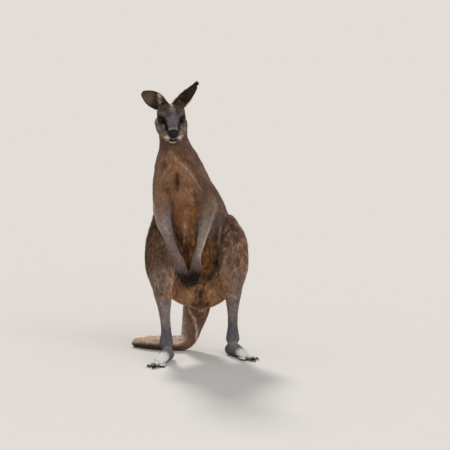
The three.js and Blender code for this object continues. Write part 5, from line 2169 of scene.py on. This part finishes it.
@dataclass(frozen=True)
class Ear:
    """One ear: a leaf bent into a trough, with a fringe of pale hair."""

    name: str
    root: Triple
    tip: Triple
    facing: Triple
    half: float                     # half its width, mm
    narrow: float                   # width at the root, as a share
    hollow: float = 24
    thick: float = 4.4
    root_depth: float = 32          # how far it starts inside the head
    gilt: float = 1.0               # how much golden hair there is in its hollow
    streak: float = 0.9             # how plain the pale streak is
    notch: float = 0.0              # how deep the notch near its tip is cut
    rows: int = 72
    columns: int = 56
    # hair kinds, as the upper bounds of a number from 0 to 1: rim, pale, root and hollow
    kinds: tuple[float, ...] = (0.3, 0.42, 0.54, 0.72)
    hair_width: float = 1.5
    long_hair: float = 8

    @property
    def sign(self) -> int:
        """1 for the animal's right ear, -1 for its left."""
        return 1 if self.name == "r" else -1

    def _axes(self) -> tuple[Array, Array, Array, float]:
        """Along, out of the hollow, and across, and the length.

        Returns:
            Three directions in the body's frame, and a length in mm.
        """
        line = vec(*self.tip) - vec(*self.root)
        axis = unit(line)
        facing = vec(*self.facing)
        out = unit(facing - axis * (axis @ facing))
        return axis, out, np.cross(axis, out), float(np.linalg.norm(line))

    def half_width(self, t: Array, u: Array) -> Array:
        """Half the width at the share t, narrow at root and tip, with the notch on one edge.

        Args:
            t: share of the length.
            u: share across, from -1 to 1.

        Returns:
            One half width for each.
        """
        root = self.narrow + (1 - self.narrow) * np.sin(math.pi / 2 * np.clip((t + 0.1) / 0.45, -1, 1))
        point = np.clip((t - 0.35) / 0.65, 0, 1)
        cut = 1 - self.notch * hill(t, 0.87, 0.035) * smooth(u, 0.1, 0.8)
        return self.half * root * (1 - 0.86 * point * point) * cut

    def surface(self, t: Array, u: Array, face: Array) -> Array:
        """A place on the ear.

        At the share t of the length and u from -1 to 1 across, the leaf lies hollow * (1.15 -
        0.75 t)(1 - u^2) behind its chord, and half a thickness times sqrt(1 - u^2) to the front
        or back (face 1 or -1).

        Args:
            t: share of the length.
            u: share across, from -1 to 1.
            face: 1 for the hollow side, -1 for the back.

        Returns:
            Places in the body's frame.
        """
        axis, out, side, length = self._axes()
        t, u, face = np.broadcast_arrays(t, u, face)
        deep = -self.hollow * (1.15 - 0.75 * np.maximum(t, 0)) * (1 - u * u)
        thick = self.thick * (1.1 - 0.5 * np.maximum(t, 0)) * np.sqrt(np.maximum(1 - u * u, 0)) + 0.5
        aside = u * self.half_width(t, u)
        return (vec(*self.root) + axis * (t * length)[..., None] + side * aside[..., None]
                + out * (deep + face * thick / 2)[..., None])

    @staticmethod
    def streak_line(t: Array) -> Array:
        """Where across the ear the pale streak lies at the share t of its length."""
        return 4.1 * t - 0.05

    def _paint(self, t: Array, u: Array, inside: Array, points: Array) -> Array:
        """Dark inside, partly painted shade in the hollow, with golden hair towards the tip and a
        pale streak on the inner side.

        The outside is grey-brown with dark edges; the left ear's hollow is almost black.

        Args:
            t: share of the length.
            u: share across, from -1 to 1.
            inside: true in the hollow, false on the back.
            points: the places.

        Returns:
            One colour for each place.
        """
        inner_side = u * self.sign
        flat = points.reshape(-1, 3)
        blotch = cloud(flat, 6, 61).reshape(t.shape)
        colour = np.broadcast_to(vec(0.034, 0.018, 0.011), (*t.shape, 3)) * (1 + 0.3 * blotch[..., None])
        # the hollow: near black, partly painted shade inside it
        dark = np.broadcast_to(vec(0.012, 0.007, 0.005), colour.shape) * 1.0
        golden = vec(0.15, 0.10, 0.06)
        gilt = self.gilt * smooth(hill(t, 0.74, 0.34) + 0.3 * blotch, 0.1, 0.9)
        inner = blend(dark, golden, gilt * smooth(np.abs(u), 0.97, 0.85))
        colour = np.where(inside[..., None], inner, colour)
        streak = hill(inner_side, self.streak_line(t), 0.5)
        streak *= smooth(inner_side, -0.3, 0.1) * smooth(t, 0.4, 0.3)
        colour = blend(colour, MARKINGS.pale, np.where(inside, streak * self.streak, 0))
        edge = smooth(inner_side, 0.86, 0.93) * smooth(t, 0.5, 0.62) * smooth(t, 0.9, 0.84) * (1 - self.gilt)
        colour = blend(colour, MARKINGS.pale, edge * 0.9)
        rim = smooth(np.abs(u), 0.93, 0.99) * smooth(t, 0.1, 0.3) * self.gilt
        colour = blend(colour, vec(0.03, 0.02, 0.015), rim * 0.85)
        tip = smooth(t, 0.88, 0.94) * (1 - self.gilt)
        return blend(colour, vec(0.035, 0.02, 0.015), tip * 0.8)

    def build(self, material: bpy.types.Material) -> bpy.types.Object:
        """The leaf as a closed shell: rings round its section, from root to tip.

        Args:
            material: the finish of the leaf.

        Returns:
            The piece.
        """
        t = np.linspace(-self.root_depth / self._axes()[3], 0.985, self.rows)[:, None]
        angle = -whole_turn(self.columns)
        u, face = np.cos(angle)[None], np.sign(np.sin(angle))[None] * np.ones((self.rows, 1))
        face = face * np.abs(np.sin(angle))[None] ** 0.2
        points = self.surface(t, u, face)
        t, u = np.broadcast_to(t, face.shape), np.broadcast_to(u, face.shape)
        colours = self._paint(t, u, face > 0, points)
        ends = np.stack([points[0].mean(0), points[-1].mean(0)])
        tints = np.concatenate([colours.reshape(-1, 3), colours[0].mean(0)[None], colours[-1].mean(0)[None]])
        faces = tube_faces(self.rows, self.columns)
        return make_piece(f"ear_{self.name}_shell", np.concatenate([points.reshape(-1, 3), ends]), faces,
                          material, "ear_coat", tints, stands_for=(f"ear_{self.name}",))

    def hairs(self, count: int = 9000) -> Hairs:
        """Short hair over back and rim, pale hair on the streak, and long dark hair at the root.

        Args:
            count: how many hairs.

        Returns:
            The hairs.
        """
        rng = np.random.default_rng(SEED + (1 if self.name == "r" else 2))
        sign = self.sign
        rim_end, pale_end, root_end, hollow_end = self.kinds
        kind = rng.random(count)
        t = rng.random(count) ** 0.85 * 0.98
        u = rng.uniform(-1, 1, count)
        rim, root = kind < rim_end, (kind >= pale_end) & (kind < root_end)
        pale = (kind >= rim_end) & (kind < pale_end)
        hollow = (kind > root_end) & (kind < hollow_end)
        on_streak = pale & (self.streak > 0)
        outer = pale & (self.streak == 0)
        u = np.where(rim, np.sign(u) * rng.uniform(0.93, 1, count), u)
        t = np.where(root, rng.uniform(-0.08, 0.12, count), t)
        by_crown = root & (rng.random(count) < 0.5)
        t = np.where(by_crown, rng.uniform(-0.24, 0.34, count), t)
        u = np.where(by_crown, sign * rng.uniform(0.4, 1, count), u)
        on_line, at_side = rng.uniform(0.04, 0.28, count), rng.uniform(0.1, 0.42, count)
        t = np.where(on_streak, on_line, np.where(outer, at_side, t))
        across = np.clip(self.streak_line(t) + rng.normal(size=count) * 0.26, -0.2, 0.97)
        u = np.where(on_streak, sign * across, u)
        u = np.where(outer, rng.uniform(0.9, 1, count), u)
        face = np.where(on_streak | (root & (u > -0.6)) | hollow, 1.0, -1.0)
        roots = self.surface(t, u, face)
        step = 0.01
        along = unit(self.surface(t + step, u, face) - self.surface(t - step, u, face))
        near, far = np.clip(u - step, -1, 1), np.clip(u + step, -1, 1)
        across = unit(self.surface(t, far, face) - self.surface(t, near, face))
        normals = unit(np.cross(along, across))
        _, out, side, _ = self._axes()
        normals *= np.sign(dot(normals, out) * face)[:, None]
        lies = along + rng.normal(size=(count, 3)) * np.where(root, 0.3, 0.15)[:, None]
        lies = lies + np.where(rim | outer, np.sign(u), 0)[:, None] * side * 0.8
        lies = unit(lies - np.where(on_streak, sign, 0)[:, None] * side * 0.25)
        lengths = rng.uniform(4, 8, count)
        lengths = np.where(rim, rng.uniform(3, 6, count), lengths)
        lengths = np.where(on_streak, rng.uniform(7, 14, count), lengths)
        long, longish = rng.uniform(12, 26, count), rng.uniform(8, 17, count)
        lengths = np.where(root, long, np.where(outer, longish, lengths))
        rises = np.where(root | on_streak, rng.uniform(2, 7, count), rng.uniform(0.6, 1.8, count))
        colours = self._paint(t, u, face > 0, roots) * rng.uniform(0.7, 1.4, (count, 1))
        tint = rng.uniform(0.6, 1.3, (count, 1))
        colours = np.where((on_streak | outer)[:, None], np.array(MARKINGS.pale) * tint * 1.25, colours)
        colours = np.where(root[:, None], np.array(MARKINGS.crown) * 1.2 * tint, colours)
        bright = rim & (t > 0.1) & (face < 0)
        colours = np.where(bright[:, None], colours * 2.2, colours)
        return Hairs(roots, normals, lies, lengths, np.full(count, self.hair_width), rises, colours,
                     np.zeros((count, 3)), np.full(count, Part.FACE.value))

    def coat(self, material: bpy.types.Material) -> bpy.types.Object:
        """Meshes the ear's hair.

        Args:
            material: the finish of the hair.

        Returns:
            The piece.
        """
        hairs = self.hairs()
        axis, _, side, length = self._axes()
        local = hairs.roots - vec(*self.root)
        spots = np.stack([0.5 + local @ side / 120, 0.1 + 0.8 * (local @ axis) / length], axis=1)
        return coat_piece(f"coat_ear_{self.name}", "ear_coat", hairs,
                          np.where(hairs.lengths > self.long_hair, 2, 1), material,
                          np.clip(spots, 0, 0.99))


EARS = (
    Ear("r", (-184, -64, 1331), (-288, -40, 1389), (-0.2, -1, 0.05), 41, 0.7),
    Ear("l", (-98, -64, 1318), (7, -58, 1446), (0.72, -0.75, -0.1), 36, 0.96,
        gilt=0.15, streak=0.0, notch=0.5),
)


@dataclass(frozen=True)
class Eye:
    """One eye: a dark ball with a clear bulge, and the rims of its lids."""

    name: str
    sign: int
    radius: float = SKULL.eye_radius
    gaze: Triple = (0.72, 0.66, 0.08)     # out of the head: side, forward, up
    pupil: float = 0.34             # radians
    iris: float = 0.86
    rows: int = 40
    columns: int = 48
    lid_steps: int = 56
    # the lids' profile: share of the way from the opening to the skin, and mm off the ball
    lid_outward: tuple[float, ...] = (0.0, 0.02, 0.08, 0.16, 0.3, 0.6, 1.0, 1.0, 0.5, 0.0)
    lid_height: tuple[float, ...] = (-1.0, 0.9, 1.6, 1.8, 1.5, 1.0, 0.4, -2.0, -2.0, -2.0)

    def _axes(self) -> tuple[Array, Array, Array, Array]:
        """The middle, and the axes out, across and up, in the body's frame.

        Returns:
            A place and three directions, in the body's frame.
        """
        side, forward, up = SKULL.eye_place
        middle = HEAD.world(vec(side * self.sign, forward, up))
        gaze = unit(vec(self.gaze[0] * self.sign, self.gaze[1], self.gaze[2]) @ HEAD.axes())
        above = HEAD.axes()[2]
        across = unit(np.cross(above, gaze))
        return middle, gaze, across, np.cross(gaze, across)

    def _ball(self, away: Array, turn: Array, stand_off: Array | float = 0.0) -> Array:
        """A place on the ball at an angle away from the gaze and a turn about it.

        The radius grows by 5% exp(-(away / 0.6)^2), which is the clear bulge.

        Args:
            away: angle from the gaze.
            turn: turn about the gaze, from the outer side upwards.
            stand_off: how far it stands off the ball.

        Returns:
            Places in the body's frame.
        """
        middle, gaze, across, above = self._axes()
        radius = (self.radius + stand_off) * (0.95 + 0.05 * np.exp(-((away / 0.6) ** 2)))
        way = (gaze * np.cos(away)[..., None] + across * (np.sin(away) * np.cos(turn))[..., None]
               + above * (np.sin(away) * np.sin(turn))[..., None])
        return middle + way * radius[..., None]

    def build(self, material: bpy.types.Material) -> bpy.types.Object:
        """The ball, with pupil, brown iris and dark edge as its marking.

        Args:
            material: the finish of the ball.

        Returns:
            The piece.
        """
        away = np.linspace(0.02, math.pi - 0.02, self.rows)[:, None] * np.ones(self.columns)
        turn = -whole_turn(self.columns) * np.ones((self.rows, 1))
        points = self._ball(away, turn)
        oval = away * (1 + 0.35 * np.sin(turn) ** 2)
        colour = np.broadcast_to(vec(0.006, 0.004, 0.003), (*away.shape, 3)) * 1.0
        rays = 0.5 + 0.5 * np.sin(turn * 23) * np.sin(turn * 9 + 1)
        brown = vec(0.012, 0.0065, 0.004) * (0.7 + 0.6 * rays[..., None])
        ring = smooth(oval, self.pupil - 0.03, self.pupil + 0.05) * smooth(away, self.iris, self.iris - 0.12)
        colour = blend(colour, brown, ring)
        edge = smooth(away, self.iris + 0.05, self.iris + 0.25)
        colour = blend(colour, vec(0.03, 0.022, 0.018), edge * 0.7)
        ends = self._ball(vec(0.0, math.pi), vec(0.0, 0.0))
        tints = np.concatenate([colour.reshape(-1, 3), colour[:1, 0], colour[-1:, 0]])
        quads, caps = tube_faces(self.rows, self.columns)
        points = np.concatenate([points.reshape(-1, 3), ends])
        return make_piece(f"eye_{self.name}_ball", points, [quads, caps], material, "eye", tints,
                          stands_for=(f"eye_{self.name}",))

    def lids(self, material: bpy.types.Material) -> bpy.types.Object:
        """The lids: a closed profile carried along an almond on the ball.

        The opening is 0.88 radians to each side and 0.55 up and down, as sin^0.85. The profile
        starts on a rim that stands about 2 mm off the ball, half as thick again above, falls
        to the skin at 1.5 radians from the gaze, and comes back inside the ball.

        Args:
            material: the finish of the lids.

        Returns:
            The piece.
        """
        steps = self.lid_steps
        phase = whole_turn(steps)
        wide = 0.88 * np.cos(phase)
        high = 0.55 * np.sign(np.sin(phase)) * np.abs(np.sin(phase)) ** 0.85
        away, turn = np.hypot(wide, high)[:, None], np.arctan2(high, wide)[:, None]
        above = 1 + 0.5 * smooth(np.sin(phase), -0.3, 0.8)[:, None]
        outward, height = vec(*self.lid_outward), vec(*self.lid_height)
        sides = len(outward)
        height = np.where(height > 0, above, 1) * height
        ring = self._ball(away + (1.5 - away) * outward, turn + 0 * outward, height)
        i, j = np.meshgrid(np.arange(steps), np.arange(sides), indexing="ij")
        a, b = i * sides + j, i * sides + (j + 1) % sides
        c, d = (i + 1) % steps * sides + (j + 1) % sides, (i + 1) % steps * sides + j
        quads = np.stack([a, b, c, d], axis=-1).reshape(-1, 4)
        return make_piece(f"eye_{self.name}_lids", ring.reshape(-1, 3), quads, material, "nose_skin")


@dataclass(frozen=True)
class NosePad:
    """The bare nose: an egg with two nostrils and a groove down its middle."""

    middle: Triple = (0, 110, -50)
    radii: Triple = (27, 19.5, 20.5)
    rows: int = 90
    columns: int = 110

    def build(self, material: bpy.types.Material) -> bpy.types.Object:
        """The pad, from a grid of angles.

        The egg's radius is drawn in by 0.34 at each nostril, a bell that slants up and
        outwards, by 0.22 in the slit beside it, and by 0.07 along the groove under the middle;
        over each nostril it swells by 0.06.

        Args:
            material: the finish of the pad.

        Returns:
            The piece.
        """
        lean = np.linspace(0.03, math.pi - 0.03, self.rows)[:, None] * np.ones(self.columns)
        turn = whole_turn(self.columns) * np.ones((self.rows, 1))

        def egg(lean: Array, turn: Array) -> Array:
            """Places on the pad, in the head's frame.

            Args:
                lean: angle from the middle of the pad.
                turn: turn about it.

            Returns:
                One place for each pair.
            """
            x, y, z = np.sin(lean) * np.cos(turn), np.sin(lean) * np.sin(turn), np.cos(lean)
            front = smooth(y, 0.0, 0.4)
            slant = np.abs(x) - 0.56 - 0.35 * (z + 0.22)
            nostril = np.exp(-((slant / 0.17) ** 2) - ((z + 0.22) / 0.24) ** 2) * front
            comma = np.exp(-(((np.abs(x) - 0.78) / 0.16) ** 2) - ((z + 0.02) / 0.13) ** 2)
            comma *= smooth(y, -0.1, 0.3)
            groove = np.exp(-((x / 0.06) ** 2)) * smooth(z, 0.25, -0.2) * front
            wing = 0.06 * np.exp(-(((np.abs(x) - 0.62) / 0.3) ** 2) - ((z - 0.18) / 0.2) ** 2) * front
            size = 1 + wing - 0.34 * nostril - 0.22 * comma - 0.07 * groove
            return vec(*self.middle) + np.stack([x, y, z], -1) * vec(*self.radii) * size[..., None]

        grid = egg(lean, turn).reshape(-1, 3)
        ends = egg(vec(0.0, math.pi), vec(0.0, 0.0))
        quads, caps = tube_faces(self.rows, self.columns)
        points = HEAD.world(np.concatenate([grid, ends]))
        return make_piece("nose_pad", points, [quads, caps], material, "nose_skin", stands_for=("nose",))


@dataclass(frozen=True)
class Studio:
    """Pale floor, soft light and the camera."""

    camera_place: Triple = (0.147, -11.0, 1.638)       # in the animal's frame, metres
    camera_pitch: float = -4.92     # degrees
    lens: float = 167.2             # mm
    sensor: float = 36              # mm
    floor_radius: float = 400.0
    floor_rays: int = 96
    floor_drop: float = 0.0005      # metres under the soles
    floor_roughness: float = 0.85
    floor: Triple = (0.55, 0.54, 0.525)
    world: Triple = (1.0, 1.0, 1.0)
    world_strength: float = 0.54
    lamps: tuple = (
        ("back light", (-0.2, 1.0, 0.72), 10, 3.2, (1.0, 0.95, 0.87)),
        ("front light", (0.45, -1.0, 0.6), 50, 1.65, (1.0, 0.98, 0.95)),
    )

    def build(self) -> None:
        """Makes them all."""
        self._floor()
        self._world()
        for lamp in self.lamps:
            self._lamp(*lamp)
        self._camera()
        bpy.context.scene.view_settings.view_transform = "Standard"

    def _floor(self) -> None:
        """A disc with its own plain finish."""
        rays = self.floor_rays
        angle = whole_turn(rays)
        ring = np.stack([np.cos(angle), np.sin(angle), 0 * angle], 1) * self.floor_radius
        points = np.concatenate([ring, [[0, 0, 0]]]) - vec(0, 0, self.floor_drop)
        mesh = bpy.data.meshes.new("floor")
        mesh.from_pydata(points.tolist(), [], [(i, (i + 1) % rays, rays) for i in range(rays)])
        material = bpy.data.materials.new("pale floor")
        material.use_nodes = True
        shader = shader_of(material)
        shader.inputs["Base Color"].default_value = (*self.floor, 1)
        shader.inputs["Roughness"].default_value = self.floor_roughness
        shader.inputs["Specular IOR Level"].default_value = 0
        mesh.materials.append(material)
        floor = bpy.data.objects.new("floor", mesh)
        bpy.context.scene.collection.objects.link(floor)

    def _world(self) -> None:
        """Even light from all round; the camera sees a wall as bright as the lit floor.

        A floor of albedo a sends back a * (world + sum of strength * sine of height / pi).
        """
        world = bpy.data.worlds.new("studio")
        world.use_nodes = True
        nodes, links = world.node_tree.nodes, world.node_tree.links
        background = nodes["Background"]
        background.inputs["Color"].default_value = (*self.world, 1)
        background.inputs["Strength"].default_value = self.world_strength
        light = vec(*self.world) * self.world_strength
        for _, way, _, strength, colour in self.lamps:
            light = light + vec(*colour) * strength * unit(vec(*way))[2] / math.pi
        wall = nodes.new("ShaderNodeBackground")
        wall.inputs["Color"].default_value = (*(vec(*self.floor) * light), 1)
        seen = nodes.new("ShaderNodeLightPath")
        choice = nodes.new("ShaderNodeMixShader")
        links.new(seen.outputs["Is Camera Ray"], choice.inputs["Fac"])
        links.new(background.outputs["Background"], choice.inputs[1])
        links.new(wall.outputs["Background"], choice.inputs[2])
        links.new(choice.outputs["Shader"], nodes["World Output"].inputs["Surface"])
        bpy.context.scene.world = world

    @staticmethod
    def _lamp(name: str, way: Triple, spread: float, strength: float, colour: Triple) -> None:
        """A distant lamp that shines from the given way, as wide as the spread in degrees.

        Args:
            name: its name.
            way: where the light comes from.
            spread: its width as it is seen, in degrees.
            strength: its strength.
            colour: its colour.
        """
        light = bpy.data.lights.new(name, "SUN")
        light.angle, light.energy, light.color = math.radians(spread), strength, colour
        lamp = bpy.data.objects.new(name, light)
        lamp.rotation_euler = (math.atan2(math.hypot(way[0], way[1]), way[2]), 0,
                               math.atan2(way[1], way[0]) + math.pi / 2)
        bpy.context.scene.collection.objects.link(lamp)

    def _camera(self) -> None:
        """The camera, a little above the ears and looking slightly down."""
        data = bpy.data.cameras.new("camera")
        data.lens, data.sensor_width = self.lens, self.sensor
        camera = bpy.data.objects.new("camera", data)
        camera.location = vec(*self.camera_place) + PLACE.shift
        camera.rotation_euler = (math.radians(90 + self.camera_pitch), 0, 0)
        bpy.context.scene.collection.objects.link(camera)
        bpy.context.scene.camera = camera


# ------------------------------------------------------------------ the whole animal


CLAW_CLEARANCE = 0.2                # mm between the claws and the floor


def build_claws() -> None:
    """The claws of each hand and foot, joined, in place of the plain ones."""
    material = HORN.material()
    for arm in ARMS:
        points, faces = joined([claw.mesh() for claw in arm.claws()])
        names = tuple(f"claw_hand_{arm.name}_{i + 1}" for i in range(len(arm.fingers)))
        make_piece(f"claws_hand_{arm.name}", points, faces, material, "claw", stands_for=names)
    for leg in LEGS:
        points, faces = joined([claw.mesh() for claw in leg.claws()])
        points[:, 2] = np.maximum(points[:, 2], CLAW_CLEARANCE)
        names = tuple(f"claw_foot_{leg.name}_{toe[0]}" for toe in leg.toes)
        make_piece(f"claws_foot_{leg.name}", points, faces, material, "claw", stands_for=names)


def build_coat(hide: Hide) -> None:
    """Grows the hair and meshes it region by region.

    Args:
        hide: the skin, and what grows where on it.
    """
    coat = Coat()
    hairs = coat.grow(hide)
    spots = roots_on_map(hairs.roots)
    material = HAIR.material()
    joints = np.where(hairs.lengths > coat.long_hair, 2, 1)
    x, _, z = hairs.roots.T
    is_arm = np.isin(hairs.parts, [Part.ARM.value, Part.FOREARM.value, Part.HAND.value])
    middle = np.where(is_arm, np.interp(z, [400, 560, 700], [-30, -40, -60]), 5)
    for region in COATS:
        mask = np.isin(hairs.parts, [part.value for part in region.parts])
        if region.side:
            mask &= np.sign(x - middle) == region.side
        if region.facing:
            mask &= (hairs.normals[:, 1] >= 0) == (region.facing > 0)
        cost = triangles_of(joints) * mask
        if cost.sum() > region.budget:
            keep = np.random.default_rng(SEED).random(len(mask)) < region.budget / cost.sum()
            mask &= keep
            LOG.info("%s thinned", region.name)
        coat_piece(region.name, region.slot, hairs.chosen(mask), joints[mask], material, spots[mask])


def main() -> None:
    """Builds the animal piece by piece, then the studio."""
    logging.basicConfig(level=logging.INFO, format="%(name)s: %(message)s", stream=sys.stdout)
    skin = Skin()
    hide = skin.hide()
    skin.build(hide)
    build_coat(hide)
    hair, ear_leather = HAIR.material(), EAR.material()
    for ear in EARS:
        ear.build(ear_leather)
        ear.coat(hair)
    eyeball, lid = EYEBALL.material(), LID.material()
    for name, sign in (("r", -1), ("l", 1)):
        eye = Eye(name, sign)
        eye.build(eyeball)
        eye.lids(lid)
    NosePad().build(NOSE.material())
    build_claws()
    Studio().build()


if __name__ == "__main__":
    main()
